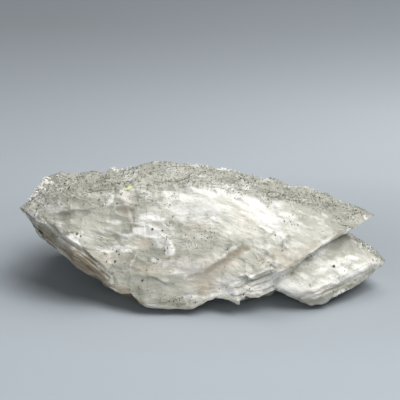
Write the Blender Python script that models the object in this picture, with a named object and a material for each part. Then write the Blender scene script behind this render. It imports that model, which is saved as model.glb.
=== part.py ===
"""Barite with pyrite: one intergrown mass of milky barite, lying on its own flat cleavage foot.

The mass is two bodies grown into each other. The plate is a loft through closed sections, each of
which passes through the same named ridge lines. The wedge is a tabular crystal under the plate's
right wing, the hull of its named corners. Metres, +Z up, +X along the specimen, -Y its front.
"""

import bmesh
import bpy
import numpy as np
from mathutils import Matrix, Vector

MM = 0.001

# Driving dimensions of the plate, in millimetres: each ridge line runs from the left tip to the
# right tip, and is given by the (x, y, z) points where it turns. The list goes once round a section.
LEFT_TIP = (-74, -1, 35.1)
RIGHT_TIP = (70, 5, 30)
RIDGE_LINES = {
    "crest": [(-71.2, 5, 35.8), (-69, 11, 37.8), (-66, 14, 42.3), (-59, 15, 45), (-50, 16, 45.2),
              (-42, 17, 44.6), (-36, 17.5, 45.2), (-31, 18, 45.5), (-28, 18, 46.4), (-20, 18, 47),
              (-13, 18, 48.4), (2, 18, 46.4), (18, 17, 43.9), (36, 15, 40.2), (43, 14.4, 39.2),
              (49, 13.5, 37.6), (57, 11, 33.7), (65, 8, 31.9)],
    "brow": [(-71.5, -1.1, 36), (-62.5, -5.8, 40.5), (-50.6, -7.5, 43.8), (-40.9, -5.5, 44.5),
             (-21, -4, 46), (-11, -4, 45.6), (2, -5, 44.6), (15, -5, 43), (35, -3, 39.6), (50, 0, 35.2),
             (60, 2, 32.6)],
    "belly": [(-71.4, -3.6, 35.3), (-65.3, -9, 34.6), (-52.4, -15, 32.3), (-37, -15.4, 27.6),
              (-17, -18, 26), (1, -20, 27), (20, -19, 28.5), (38, -14, 30.5), (55, -5, 30.2),
              (64, 1, 30)],
    "rim": [(-71.8, -3.1, 33.9), (-66.8, -7, 30.2), (-60.4, -10, 27.4), (-55.4, -14, 25.3),
            (-50.4, -19.1, 23.2), (-41.6, -23.2, 17.8), (-38.1, -23.4, 13.1), (-36.2, -23.6, 10.9),
            (-32.2, -25.5, 10.5), (-29, -26.5, 10.9), (-20.9, -28, 9.2), (-10.9, -28.5, 8.1),
            (-1.2, -28, 10), (7, -26.5, 11.9), (12.4, -28, 15.2), (16.7, -29.5, 16.9),
            (19.4, -29.5, 14.9), (22.9, -29.5, 16.8), (25.2, -29.5, 17.7), (28.5, -30.5, 18),
            (31, -29, 19.1), (38, -24, 21), (47, -17, 24.2), (58, -8, 27.5), (65, 0, 28.2)],
    "lip": [(-71.9, -3.6, 33.8), (-70.2, -4.6, 31.8), (-67.2, -6.6, 27.5), (-65.1, -7.5, 24.7),
            (-62.1, -8.5, 21.9), (-53.3, -13.5, 18.1), (-46.5, -18.1, 13.6), (-40.7, -19.9, 10.1),
            (-37.8, -22.4, 8.5), (-35, -25, 7.9), (-32.2, -26.5, 7.5), (-28.2, -28, 8.6),
            (-26.6, -28.5, 7.1), (-24.4, -29, 5.4), (-21.9, -29.5, 4.1), (-18, -30, 3.5),
            (-11.4, -30, 3.1), (-5.9, -30, 3), (-2.4, -30.5, 4.6), (0.4, -30, 5.7),
            (4.1, -28, 6.6), (7.4, -29, 6.6), (10.5, -30, 6.7), (13.5, -30.5, 6), (16.8, -30, 8.2),
            (19.9, -29.5, 8), (22.6, -28.5, 8), (25.4, -27.5, 8), (27.9, -25, 8.8),
            (33, -19, 11.5), (38, -13, 17.5), (47, -7, 21.6), (58, -1, 25.6), (65, 3, 27.6)],
    "keel": [(-70, 3, 28.2), (-58, 3, 18), (-42, 3, 6), (-31, -1.5, -1.5), (-22, -14.5, -1.5),
             (-6, -17, -1.5), (-1, -13, -1.5), (4, -8, -1.5), (10, -5, -1.5), (25, -5, 2),
             (36, -3, 9.5), (46, 0, 18), (58, 4, 24.6), (66, 5, 28)],
    "heel": [(-70, 12, 27), (-61, 26, 13), (-45, 31, 4.5), (-28, 29, -1.5), (12, 25, -1.5), (28, 20, 2),
             (45, 12, 14), (60, 9, 24.6), (67, 7, 28.6)],
    "back_toe": [(-70, 21, 28), (-64, 43, 14), (-46, 49, 8), (-20, 46, 5), (10, 40, 3), (30, 31, 7),
                 (48, 20, 17), (60, 13, 25), (67, 8.5, 29.2)],
    "back_shoulder": [(-71, 15, 33.5), (-63, 44, 31), (-42, 49, 32), (-10, 44, 33), (20, 37, 31),
                      (45, 25, 28), (60, 15, 28), (67, 9, 30.4)],
}

# The wedge's corners, in millimetres.
WEDGE_CORNERS = [
    (59.3, -1.2, 24.8), (67.6, 1, 17.2), (71.6, 2, 14.7), (74.8, -1, 12.3), (73.7, -3.6, 11.2),
    (67.3, -9.2, 14.5), (61.4, -13.6, 13.2), (50, -22.8, 10.8), (43.5, -27.2, 9), (34, -27.2, 8.4),
    (27.4, -26.2, 11.4), (27.3, -25.2, 13.6), (66.7, -9.8, 7.9), (58.6, -15.8, 5.7),
    (48.7, -22.2, 2.5), (43, -24.8, 1.9), (38.4, -23.8, 2.9), (28, -18.5, 7.4), (26, -13, 14.5),
    (44, -7, 24.5), (58, 15, 15), (69, 13, 9), (64, 12, 0.5), (52, 14, -1.5), (30, 14, -1.5),
    (35, -18.5, 3.8), (41, -24.5, 3.3), (44.9, -25, 3.3), (49.3, -24, 3.8),
]

# Ledges, ridges and dishes placed by hand on the front, in the plane that faces VIEW: (a, b) is
# millimetres to the right and up from the middle of the foot. A ledge stands `height` proud along
# its line and slopes back to nothing over `reach` on its left-hand side, going along the line.
VIEW_TILT = 18.0
VIEW_DISTANCE = 600.0
VIEW_AIM = (-1.2, 0.0, 36.0)
LEDGES = [
    # line, height, reach, width of the riser
    ([(-9, 3.2), (-4, 4.0), (0, 6.5), (4, 9), (9, 11.4), (12.5, 13.6), (16.5, 17.4), (20.5, 18)],
     1.7, 17.0, 4.0),
    ([(-62, 30.0), (-58.6, 22.0), (-51.5, 17.6), (-46, 12.8), (-40.5, 7.8), (-38, 4)], 1.6, 12.0, 0.7),
    ([(-27, 43.2), (-22, 43.5), (-12.5, 43.4), (-7, 42.2), (4, 41.5), (12.5, 42), (15.5, 39.7),
      (23, 38.8), (36, 36.8), (45, 35.4), (51, 33.4)], 0.9, 7.0, 0.7),
    ([(-50, 23.9), (-43, 22.2), (-36, 21.0), (-31, 20.6), (-29, 24), (-28, 30)], 1.0, 16.0, 1.6),
    ([(-26, 2.4), (-23.8, 3.4), (-21.3, 4.4), (-18.1, 3.1), (-13.9, 0.7)], 0.6, 6.0, 0.8),
    ([(32.1, 27.8), (31.3, 24.5), (32.1, 21.2), (33.3, 17.5), (35, 14.6)], 0.3, 7.0, 0.7),
]
RIDGES = [
    # line, height, half width
    ([(-31, 23), (-28, 25), (-23, 25.4), (-18, 22.8), (-13.6, 18.5), (-12, 14.6)], 0.75, 4.2),
    ([(-28, 27.6), (-20, 28), (-15, 26.6), (-11.4, 23)], 0.4, 1.6),
]
CREVICES = [
    # line, depth, half width
    ([(13, -0.5), (18, 1.5), (21, 3.3), (26.2, 6.0), (31, 5.8)], 1.6, 1.2),
    ([(18.9, -0.8), (24, 0.6), (28.3, 1.5)], 1.1, 0.9),
    ([(-30, 33), (-29, 28), (-30.5, 22.5)], 0.5, 1.0),
]
DISHES = [
    # centre, half lengths, turn in degrees, depth
    ((-20.5, 16.0), (8.5, 6.5), -35.0, 0.9),
    ((-53.5, 30.2), (7.5, 1.9), 6.0, 1.5),
    ((-32.0, 31.5), (4.5, 2.4), -10.0, 0.9),
    ((-38.5, 22.2), (4.0, 1.2), -15.0, 0.7),
    ((19.0, 14.0), (8.0, 6.5), 35.0, 1.4),
    ((-17.0, 7.5), (9.0, 3.0), 5.0, 0.7),
]
# Depth of the hollow on the wedge's upper face, and of the leaves along the plate's edge.
WEDGE_DISH = ((55.0, 17.5), (8.0, 4.0), -20.0, 1.1)
LEAF_HEIGHT = 0.6
UNDERCUT = 2.4  # depth of the groove under the edge of the wing

# Mesh fineness: sections along the plate, points between two ridge lines, the share of the
# triangles that is kept, and the wedge's edge in millimetres.
SECTIONS = 260
POINTS_PER_STRIP = 18
PLATE_KEPT = 0.082
WEDGE_EDGE = 1.3
WEDGE_KEPT = 0.16
STRIPS = len(RIDGE_LINES)

BARITE_COLOUR = (0.62, 0.61, 0.55, 1.0)


def hashed(cells, seed):
    """A fixed pseudo-random number from 0 to 1 for each row of whole-number cells."""
    x, y, z = (cells[..., i].astype(np.int64) for i in range(3))
    h = (x * 374761393 + y * 668265263 + z * 2147483647 + seed * 974634777) & 0xFFFFFFFF
    h = ((h ^ (h >> 13)) * 1274126177) & 0xFFFFFFFF
    h = ((h ^ (h >> 16)) * 2246822519) & 0xFFFFFFFF
    return ((h ^ (h >> 15)) & 0xFFFFFF) / float(0x1000000)


def soft_noise(points, size, seed):
    """Value noise from -1 to 1: lattice numbers blended with the quintic fade 6t^5-15t^4+10t^3."""
    scaled = points / size
    base = np.floor(scaled)
    t = scaled - base
    t = t * t * t * (t * (t * 6 - 15) + 10)
    total = np.zeros(len(points))
    for corner in np.ndindex(2, 2, 2):
        offset = np.array(corner)
        weight = np.prod(np.where(offset, t, 1 - t), axis=1)
        total += weight * hashed(base + offset, seed)
    return total * 2 - 1


def scallops(points, size, seed):
    """Shell-like chips from about -1 to 1: the lowest of the tilted bowls round jittered seeds."""
    scaled = points / size
    base = np.floor(scaled)
    lowest = np.full(len(points), np.inf)
    for neighbour in np.ndindex(3, 3, 3):
        cell = base + np.array(neighbour) - 1
        jitter = np.stack([hashed(cell, seed + i) for i in range(3)], axis=1)
        away = scaled - (cell + jitter)
        tilt = np.stack([hashed(cell, seed + 3 + i) for i in range(3)], axis=1) - 0.5
        bowl = (away**2).sum(axis=1) + 0.9 * (away * tilt).sum(axis=1)
        lowest = np.minimum(lowest, bowl)
    return lowest * 3.2 - 0.45


def terraces(points, size, levels, seed):
    """Cleavage steps from -1 to 1: soft noise pressed towards flat levels with short risers."""
    height = (soft_noise(points, size, seed) + 0.35 * soft_noise(points, size / 2.7, seed + 1)) * levels
    level = np.round(height)
    riser = np.clip((height - level) * 2, -1, 1)
    return (level + 0.5 * riser**7) / levels


def seen(points):
    """(a, b) of each point: its place in the plane that faces the front from VIEW_TILT degrees up."""
    tilt = np.radians(VIEW_TILT)
    up = np.array([0, np.sin(tilt), np.cos(tilt)])
    out = np.array([0, -np.cos(tilt), np.sin(tilt)])
    aim = np.array([VIEW_AIM[0], VIEW_AIM[2] * np.sin(tilt), VIEW_AIM[2] * np.cos(tilt)])
    from_aim = points - aim
    scale = VIEW_DISTANCE / (VIEW_DISTANCE - from_aim @ out)
    return np.stack([VIEW_AIM[0] + from_aim[:, 0] * scale, VIEW_AIM[2] + from_aim @ up * scale], axis=1)


def along(places, line):
    """For each place its distance from the line, positive on the left, and how far it is from the
    line's start to its end, as a share."""
    line = np.array(line, float)
    nearest = np.full(len(places), np.inf)
    side = np.zeros(len(places))
    for start, end in zip(line[:-1], line[1:]):
        step = end - start
        length = np.hypot(*step)
        offset = places - start
        t = np.clip(offset @ step / length**2, 0, 1)
        gap = np.hypot(*(offset - t[:, None] * step).T)
        turn = step[0] * offset[:, 1] - step[1] * offset[:, 0]
        closer = gap < nearest - 1e-9
        nearest = np.where(closer, gap, nearest)
        side = np.where(closer, np.sign(turn), side)
    chord = line[-1] - line[0]
    return nearest * side, np.clip((places - line[0]) @ chord / (chord @ chord), 0, 1)


def placed_features(places):
    """Height in millimetres of the hand-placed ledges, ridges and dishes at each (a, b)."""
    height = np.zeros(len(places))
    for line, rise, reach, riser in LEDGES:
        distance, run = along(places, line)
        ends = np.clip(np.minimum(run * 3, (1 - run) * 8), 0, 1)
        ends = ends * ends * (3 - 2 * ends)
        back = np.clip(1 - distance / reach, 0, 1)
        edge = np.clip(distance / riser + 0.5, 0, 1)
        edge = edge * edge * (3 - 2 * edge)
        height += rise * back * edge * ends
    shallow = [(line, -depth, half_width) for line, depth, half_width in CREVICES]
    for line, rise, half_width in RIDGES + shallow:
        distance, run = along(places, line)
        ends = np.clip(np.minimum(run, 1 - run) * 6, 0, 1)
        height += rise * np.clip(1 - abs(distance) / half_width, 0, 1) * ends
    for dish in DISHES:
        height -= dished(places, dish)
    return height


def dished(places, dish):
    """Depth of a shell-like hollow: deep * (1 - r^2), r being the distance in half lengths."""
    centre, halves, turn, deep = dish
    turn = np.radians(turn)
    offset = places - np.array(centre)
    u = (offset[:, 0] * np.cos(turn) + offset[:, 1] * np.sin(turn)) / halves[0]
    v = (offset[:, 1] * np.cos(turn) - offset[:, 0] * np.sin(turn)) / halves[1]
    return deep * np.clip(1 - u * u - v * v, 0, 1)


def plateau(value, low, high, blend):
    """1 where value lies between low and high, falling to 0 within blend outside them."""
    return np.clip(np.minimum(value - low, high - value) / blend + 1, 0, 1)


def plate_relief(points, strip):
    """How far the broken surface of the plate stands off the smooth form, in millimetres.

    strip is the place round the section: 0 at the crest, 1 the brow, 3 the rim, 4 the lip, and so on.
    """
    front = plateau(strip, 1, 3, 0.25)
    top = np.maximum(plateau(strip, 0, 1, 0.3), plateau(strip, STRIPS, STRIPS + 1, 0.3))
    edge = plateau(strip, 3.2, 4.9, 0.4) * (1 - plateau(points[:, 0], -34, 9, 5))
    hidden = plateau(strip, 4.9, 8.6, 0.5)
    swell = 0.6 * soft_noise(points, 19.0, 11) + 0.25 * soft_noise(points, 7.0, 12)
    chips = (0.45 + 0.9 * hidden) * scallops(points, 17.0, 21)
    chips += (0.15 + 0.15 * top + 0.4 * hidden) * scallops(points, 6.5, 31)
    chips += 1.9 * hidden * (scallops(points, 31.0, 101) - 0.4)
    steps = front * 0.6 * terraces(points * (0.6, 1.0, 1.2), 21.0, 1.6, 41)
    crust = top * 0.35 * soft_noise(points, 3.4, 51)
    leaf = strip * 3.2 + 0.6 * soft_noise(points, 23.0, 61)
    leaves = edge * LEAF_HEIGHT * ((leaf - np.floor(leaf)) * 2 - 1)
    tips = np.clip(np.minimum(points[:, 0] - LEFT_TIP[0], RIGHT_TIP[0] - points[:, 0]) / 18, 0.12, 1)
    placed = plateau(strip, 1, 4.3, 0.25) * placed_features(seen(points))
    undercut = UNDERCUT * plateau(points[:, 0], 17, 31, 4) * plateau(strip, 3.08, 4, 0.08) * (4 - strip)
    return (swell + chips + steps + crust + leaves) * tips + placed - undercut - 0.3


def displaced(points, faces, amount):
    """The points moved along their vertex normals by amount."""
    corners = points[faces]
    across = np.cross(corners[:, 2] - corners[:, 0], corners[:, 3] - corners[:, 1])
    normals = np.zeros_like(points)
    for i in range(4):
        np.add.at(normals, faces[:, i], across)
    normals /= np.linalg.norm(normals, axis=1, keepdims=True) + 1e-9
    return points + normals * amount[:, None]


def plate_grid():
    """Points of the smooth plate, with a row for each section, and each column's strip number."""
    lines = [np.array([LEFT_TIP, *line, RIGHT_TIP], float) for line in RIDGE_LINES.values()]
    share = np.linspace(0, 1, SECTIONS + 2)[1:-1]
    share = 0.35 * (1 - np.cos(np.pi * share)) / 2 + 0.65 * share
    x = LEFT_TIP[0] + (RIGHT_TIP[0] - LEFT_TIP[0]) * share
    ridges = np.stack(
        [np.stack([x] + [np.interp(x, l[:, 0], l[:, i]) for i in (1, 2)], axis=1) for l in lines],
        axis=1,
    )
    strip = np.arange(STRIPS * POINTS_PER_STRIP) / POINTS_PER_STRIP
    first = strip.astype(int)
    t = (strip - first)[None, :, None]
    grid = ridges[:, first] * (1 - t) + ridges[:, (first + 1) % STRIPS] * t
    # From the brow to the rim the section is one smooth curve: the parabola through three ridges.
    bulge = (strip > 1) & (strip < 3)
    t = (strip[bulge] - 1)[None, :, None]
    brow, belly, rim = (ridges[:, [i]] for i in (1, 2, 3))
    grid[:, bulge] = brow * (t - 1) * (t - 2) / 2 - belly * t * (t - 2) + rim * t * (t - 1) / 2
    return grid, strip


def make_plate():
    """The plate: quads between neighbouring sections, and a fan of triangles at each tip."""
    grid, strip = plate_grid()
    rows, columns = grid.shape[:2]
    index = np.arange(rows * columns).reshape(rows, columns)
    a, b = index[:-1], index[1:]
    quads = np.stack([a, np.roll(a, -1, 1), np.roll(b, -1, 1), b], axis=-1).reshape(-1, 4)
    points = grid.reshape(-1, 3)
    outward = -1 if inward(points, quads) else 1
    points = displaced(points, quads, outward * plate_relief(points, np.tile(strip, rows)))
    left, right = len(points), len(points) + 1
    fans = [(left, index[0, (j + 1) % columns], index[0, j]) for j in range(columns)]
    fans += [(right, index[-1, j], index[-1, (j + 1) % columns]) for j in range(columns)]
    points = np.vstack([points, LEFT_TIP, RIGHT_TIP])
    mesh = bpy.data.meshes.new("barite")
    mesh.from_pydata((points * MM).tolist(), [], quads.tolist() + fans)
    return thinned(bpy.data.objects.new("barite", mesh), PLATE_KEPT)


def inward(points, quads):
    """Whether the faces turn inwards: the sum of the signed volumes under them is negative."""
    corners = points[quads]
    across = np.cross(corners[:, 2] - corners[:, 0], corners[:, 3] - corners[:, 1])
    return (across * corners.mean(axis=1)).sum() < 0


def thinned(made, kept):
    """The object facing out, with a modifier that keeps this share of its triangles."""
    shape = bmesh.new()
    shape.from_mesh(made.data)
    bmesh.ops.recalc_face_normals(shape, faces=shape.faces)
    shape.to_mesh(made.data)
    shape.free()
    step = made.modifiers.new("facets", "DECIMATE")
    step.ratio = kept
    return made


def make_wedge():
    """The wedge: the hull of its corners, divided fine, with its own chips and hollow."""
    shape = bmesh.new()
    for corner in WEDGE_CORNERS:
        shape.verts.new(corner)
    hull = bmesh.ops.convex_hull(shape, input=shape.verts)
    inside = {e for e in hull["geom_interior"] if isinstance(e, bmesh.types.BMVert)}
    bmesh.ops.delete(shape, geom=list(inside), context="VERTS")
    for _ in range(7):
        long_edges = [e for e in shape.edges if e.calc_length() > WEDGE_EDGE * 1.4]
        if not long_edges:
            break
        bmesh.ops.subdivide_edges(shape, edges=long_edges, cuts=1)
        bmesh.ops.triangulate(shape, faces=shape.faces)
    bmesh.ops.recalc_face_normals(shape, faces=shape.faces)
    shape.normal_update()
    points = np.array([v.co for v in shape.verts])
    normals = np.array([v.normal for v in shape.verts])
    upper = np.clip(normals[:, 2] * 3 - 1, 0, 1)
    heights = 0.3 * soft_noise(points, 9.0, 71) + 0.3 * scallops(points, 11.0, 81)
    heights += 0.2 * scallops(points, 5.0, 91) - upper * dished(seen(points), WEDGE_DISH) - 0.3
    for vertex, place in zip(shape.verts, (points + normals * heights[:, None]) * MM):
        vertex.co = place
    mesh = bpy.data.meshes.new("wedge")
    shape.to_mesh(mesh)
    shape.free()
    return thinned(bpy.data.objects.new("wedge", mesh), WEDGE_KEPT)


def make_floor_cutter():
    """A block whose top is the resting plane z = 0."""
    depth = 20
    shape = bmesh.new()
    bmesh.ops.create_cube(shape, size=1)
    bmesh.ops.scale(shape, verts=shape.verts, vec=Vector((200, 120, depth)) * MM)
    bmesh.ops.translate(shape, verts=shape.verts, vec=Vector((0, 0, -depth / 2)) * MM)
    mesh = bpy.data.meshes.new("floor_cutter")
    shape.to_mesh(mesh)
    shape.free()
    return bpy.data.objects.new("floor_cutter", mesh)


def barite_material():
    """Milky barite: a pale warm grey with a dull vitreous gloss."""
    material = bpy.data.materials.new("milky_barite")
    material.use_nodes = True
    surface = material.node_tree.nodes["Principled BSDF"]
    surface.inputs["Base Color"].default_value = BARITE_COLOUR
    surface.inputs["Roughness"].default_value = 0.55
    surface.inputs["Metallic"].default_value = 0.0
    return material


def main():
    for old in list(bpy.data.objects):
        bpy.data.objects.remove(old)
    specimen = bpy.data.collections.new("barite_with_pyrite")
    helpers = bpy.data.collections.new("helpers")
    for collection in (specimen, helpers):
        bpy.context.scene.collection.children.link(collection)

    barite = make_plate()
    specimen.objects.link(barite)
    for name, operation, helper in (
        ("grown_into_wedge", "UNION", make_wedge()),
        ("flat_foot", "DIFFERENCE", make_floor_cutter()),
    ):
        helper.hide_render = True
        helper.display_type = "WIRE"
        helpers.objects.link(helper)
        step = barite.modifiers.new(name, "BOOLEAN")
        step.operation = operation
        step.object = helper
    barite.data.materials.append(barite_material())

    # The origin is the bottom centre of the box round the finished mass.
    bpy.context.view_layer.update()
    finished = barite.evaluated_get(bpy.context.evaluated_depsgraph_get())
    corners = np.array(finished.bound_box)
    middle = (corners.min(axis=0) + corners.max(axis=0)) / 2
    for made in [barite, *helpers.objects]:
        made.data.transform(Matrix.Translation((-middle[0], -middle[1], 0)))


main()
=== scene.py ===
"""A lump of milky barite dusted with fine pyrite, lying on a pale table in soft studio light.

The stone is one closed skin: the plate, a loft through closed sections that pass through named
ridge lines, joined with the wedge, a tabular crystal bounded by cleavage planes. Both carry their
breaks, steps and grain as real relief. Pyrite crystals are sunk into the skin. Shapes are worked
out in millimetres and put into the meshes in metres. +Z up, +X along the stone, -Y its front.
"""

import bmesh
import bpy
import numpy as np
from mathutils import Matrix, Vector


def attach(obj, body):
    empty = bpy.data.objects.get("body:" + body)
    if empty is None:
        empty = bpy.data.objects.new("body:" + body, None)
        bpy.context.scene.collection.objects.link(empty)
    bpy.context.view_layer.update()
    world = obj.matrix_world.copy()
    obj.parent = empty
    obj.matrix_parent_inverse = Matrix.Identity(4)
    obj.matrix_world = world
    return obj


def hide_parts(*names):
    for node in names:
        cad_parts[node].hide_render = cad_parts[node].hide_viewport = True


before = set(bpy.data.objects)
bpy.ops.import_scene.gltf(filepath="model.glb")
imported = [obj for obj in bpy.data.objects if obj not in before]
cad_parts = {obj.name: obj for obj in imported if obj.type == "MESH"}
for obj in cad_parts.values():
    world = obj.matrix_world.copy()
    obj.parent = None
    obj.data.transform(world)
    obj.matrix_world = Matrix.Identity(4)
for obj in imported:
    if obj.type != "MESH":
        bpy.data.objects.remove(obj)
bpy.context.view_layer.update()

MM = 0.001
# From the frame the ridge lines are given in to the solid's own frame, in millimetres.
SHIFT = np.array([-0.292, -9.048, 0.0])

LEFT_TIP = (-74, -1, 35.1)
RIGHT_TIP = (70, 5, 30)
RIDGE_LINES = {
    "crest": [(-71.2, 5, 35.8), (-69, 11, 37.8), (-66, 14, 42.3), (-59, 15, 45), (-50, 16, 45.2),
              (-42, 17, 44.6), (-36, 17.5, 45.2), (-31, 18, 45.5), (-28, 18, 46.4), (-20, 18, 47),
              (-13, 18, 48.4), (2, 18, 46.4), (18, 17, 43.9), (36, 15, 40.2), (43, 14.4, 39.2),
              (49, 13.5, 37.6), (57, 11, 33.7), (65, 8, 31.9)],
    "brow": [(-71.5, -1.1, 36), (-62.5, -5.8, 40.5), (-50.6, -7.5, 43.8), (-40.9, -5.5, 44.5),
             (-21, -4, 46), (-11, -4, 45.6), (2, -5, 44.6), (15, -5, 43), (35, -3, 39.6), (50, 0, 35.2),
             (60, 2, 32.6)],
    "belly": [(-71.4, -3.6, 35.3), (-65.3, -9, 34.6), (-52.4, -15, 32.3), (-37, -15.4, 27.6),
              (-17, -18, 26), (1, -20, 27), (20, -19, 28.5), (38, -14, 30.5), (55, -5, 30.2),
              (64, 1, 30)],
    "rim": [(-71.8, -3.1, 33.9), (-66.8, -7, 30.2), (-60.4, -10, 27.4), (-55.4, -14, 25.3),
            (-50.4, -19.1, 23.2), (-41.6, -23.2, 17.8), (-38.1, -23.4, 13.1), (-36.2, -23.6, 10.9),
            (-32.2, -25.5, 10.5), (-29, -26.5, 10.9), (-20.9, -28, 9.2), (-10.9, -28.5, 8.1),
            (-1.2, -28, 10), (7, -26.5, 11.9), (12.4, -28, 15.2), (16.7, -29.5, 16.9),
            (19.4, -29.5, 14.9), (22.9, -29.5, 16.8), (25.2, -29.5, 17.7), (28.5, -30.5, 18),
            (31, -29, 19.1), (38, -24, 21), (47, -17, 24.2), (58, -8, 27.5), (65, 0, 28.2)],
    "lip": [(-71.9, -3.6, 33.8), (-70.2, -4.6, 31.8), (-67.2, -6.6, 27.5), (-65.1, -7.5, 24.7),
            (-62.1, -8.5, 21.9), (-53.3, -13.5, 18.1), (-46.5, -18.1, 13.6), (-40.7, -19.9, 10.1),
            (-37.8, -22.4, 8.5), (-35, -25, 7.9), (-32.2, -26.5, 7.5), (-28.2, -28, 8.6),
            (-26.6, -28.5, 7.1), (-24.4, -29, 5.4), (-21.9, -29.5, 4.1), (-18, -30, 3.5),
            (-11.4, -30, 3.1), (-5.9, -30, 3), (-2.4, -30.5, 4.6), (0.4, -30, 5.7),
            (4.1, -28, 6.6), (7.4, -29, 6.6), (10.5, -30, 6.7), (13.5, -30.5, 6), (16.8, -30, 8.2),
            (19.9, -29.5, 8), (22.6, -28.5, 8), (25.4, -27.5, 8), (27.9, -25, 8.8),
            (33, -19, 11.5), (38, -13, 17.5), (47, -7, 21.6), (58, -1, 25.6), (65, 3, 27.6)],
    "keel": [(-70, 3, 28.2), (-58, 3, 18), (-42, 3, 6), (-31, -1.5, -1.5), (-22, -14.5, -1.5),
             (-6, -17, -1.5), (-1, -13, -1.5), (4, -8, -1.5), (10, -5, -1.5), (25, -5, 2),
             (36, -3, 9.5), (46, 0, 18), (58, 4, 24.6), (66, 5, 28)],
    "heel": [(-70, 12, 27), (-61, 26, 13), (-45, 31, 4.5), (-28, 29, -1.5), (12, 25, -1.5), (28, 20, 2),
             (45, 12, 14), (60, 9, 24.6), (67, 7, 28.6)],
    "back_toe": [(-70, 21, 28), (-64, 43, 14), (-46, 49, 8), (-20, 46, 5), (10, 40, 3), (30, 31, 7),
                 (48, 20, 17), (60, 13, 25), (67, 8.5, 29.2)],
    "back_shoulder": [(-71, 15, 33.5), (-63, 44, 31), (-42, 49, 32), (-10, 44, 33), (20, 37, 31),
                      (45, 25, 28), (60, 15, 28), (67, 9, 30.4)],
}
STRIPS = len(RIDGE_LINES)
CREST, BROW, BELLY, RIM, LIP = range(5)  # places round a section, in the order of the lines
SECTIONS = 300
# Grid columns between each ridge line and the next: fine on the front, coarse underneath.
STRIP_COLUMNS = (42, 48, 48, 26, 14, 8, 18, 28, 26)

WEDGE_CORNERS = [
    (59.3, -1.2, 24.8), (67.6, 1, 17.2), (71.6, 2, 14.7), (74.8, -1, 12.3), (73.7, -3.6, 11.2),
    (67.3, -9.2, 14.5), (61.4, -13.6, 13.2), (50, -22.8, 10.8), (43.5, -27.2, 9), (34, -27.2, 8.4),
    (27.4, -26.2, 11.4), (27.3, -25.2, 13.6), (66.7, -9.8, 7.9), (58.6, -15.8, 5.7),
    (48.7, -22.2, 2.5), (43, -24.8, 1.9), (38.4, -23.8, 2.9), (28, -18.5, 7.4), (26, -13, 14.5),
    (44, -7, 24.5), (58, 15, 15), (69, 13, 9), (64, 12, 0.5), (52, 14, -1.5), (30, 14, -1.5),
    (35, -18.5, 3.8), (41, -24.5, 3.3), (44.9, -25, 3.3), (49.3, -24, 3.8),
]
WEDGE_CENTRE = np.array([52.0, -5.0, 9.0])
WEDGE_CELLS = 58
NO_STRIP = -1.0  # marks the wedge, which has no strips between ridge lines

# Breaks placed in the plane that faces VIEW_TILT degrees up from the front: (a, b) is
# millimetres to the right and up from the middle of the foot. A ledge stands `height` proud along
# its line and slopes back to nothing over `reach` on the left-hand side, going along the line.
VIEW_TILT = 18.0
VIEW_DISTANCE = 600.0
VIEW_RIGHT, VIEW_UP = -1.2, 36.0  # the place that the camera looks at
VIEW_WIDTH = 164.4  # what its picture spans there
LEDGES = [
    # line, height, reach, width of the riser
    ([(-9, 3.2), (-4, 4.0), (0, 6.5), (4, 9), (9, 11.4), (12.5, 13.6), (16.5, 17.4), (20.5, 18)],
     1.7, 17.0, 4.0),
    ([(-62, 30.0), (-58.6, 22.0), (-51.5, 17.6), (-46, 12.8), (-40.5, 7.8), (-38, 4)], 1.6, 12.0, 0.7),
    ([(-27, 43.2), (-22, 43.5), (-12.5, 43.4), (-7, 42.2), (4, 41.5), (12.5, 42), (15.5, 39.7),
      (23, 38.8), (36, 36.8), (45, 35.4), (51, 33.4)], 0.9, 7.0, 0.7),
    ([(-50, 23.9), (-43, 22.2), (-36, 21.0), (-31, 20.6), (-29, 24), (-28, 30)], 1.0, 16.0, 1.6),
    ([(-26, 2.4), (-23.8, 3.4), (-21.3, 4.4), (-18.1, 3.1), (-13.9, 0.7)], 0.6, 6.0, 0.8),
    ([(32.1, 27.8), (31.3, 24.5), (32.1, 21.2), (33.3, 17.5), (35, 14.6)], 0.3, 7.0, 0.7),
]
RIDGES = [
    # line, height, half width
    ([(-31, 23), (-28, 25), (-23, 25.4), (-18, 22.8), (-13.6, 18.5), (-12, 14.6)], 0.75, 4.2),
    ([(-28, 27.6), (-20, 28), (-15, 26.6), (-11.4, 23)], 0.4, 1.6),
]
CREVICES = [
    # line, depth, half width
    ([(13, -0.5), (18, 1.5), (21, 3.3), (26.2, 6.0), (31, 5.8)], 1.6, 1.2),
    ([(18.9, -0.8), (24, 0.6), (28.3, 1.5)], 1.1, 0.9),
    ([(-30, 33), (-29, 28), (-30.5, 22.5)], 0.5, 1.0),
]
DISHES = [
    # centre, half lengths, turn in degrees, depth
    ((-20.5, 16.0), (8.5, 6.5), -35.0, 0.9),
    ((-53.5, 30.2), (7.5, 1.9), 6.0, 1.5),
    ((-32.0, 31.5), (4.5, 2.4), -10.0, 0.9),
    ((-38.5, 22.2), (4.0, 1.2), -15.0, 0.7),
    ((19.0, 14.0), (8.0, 6.5), 35.0, 1.4),
    ((-17.0, 7.5), (9.0, 3.0), 5.0, 0.7),
]
WEDGE_DISH = ((55.0, 17.5), (8.0, 4.0), -20.0, 1.1)
LEAF_HEIGHT = 0.6
UNDERCUT = 2.4  # depth of the groove under the edge of the wing


def hashed(cells, seed):
    """A fixed pseudo-random number from 0 to 1 for each row of whole-number cells."""
    x, y, z = (cells[..., i].astype(np.int64) for i in range(3))
    h = (x * 374761393 + y * 668265263 + z * 2147483647 + seed * 974634777) & 0xFFFFFFFF
    h = ((h ^ (h >> 13)) * 1274126177) & 0xFFFFFFFF
    h = ((h ^ (h >> 16)) * 2246822519) & 0xFFFFFFFF
    return ((h ^ (h >> 15)) & 0xFFFFFF) / float(0x1000000)


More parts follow.
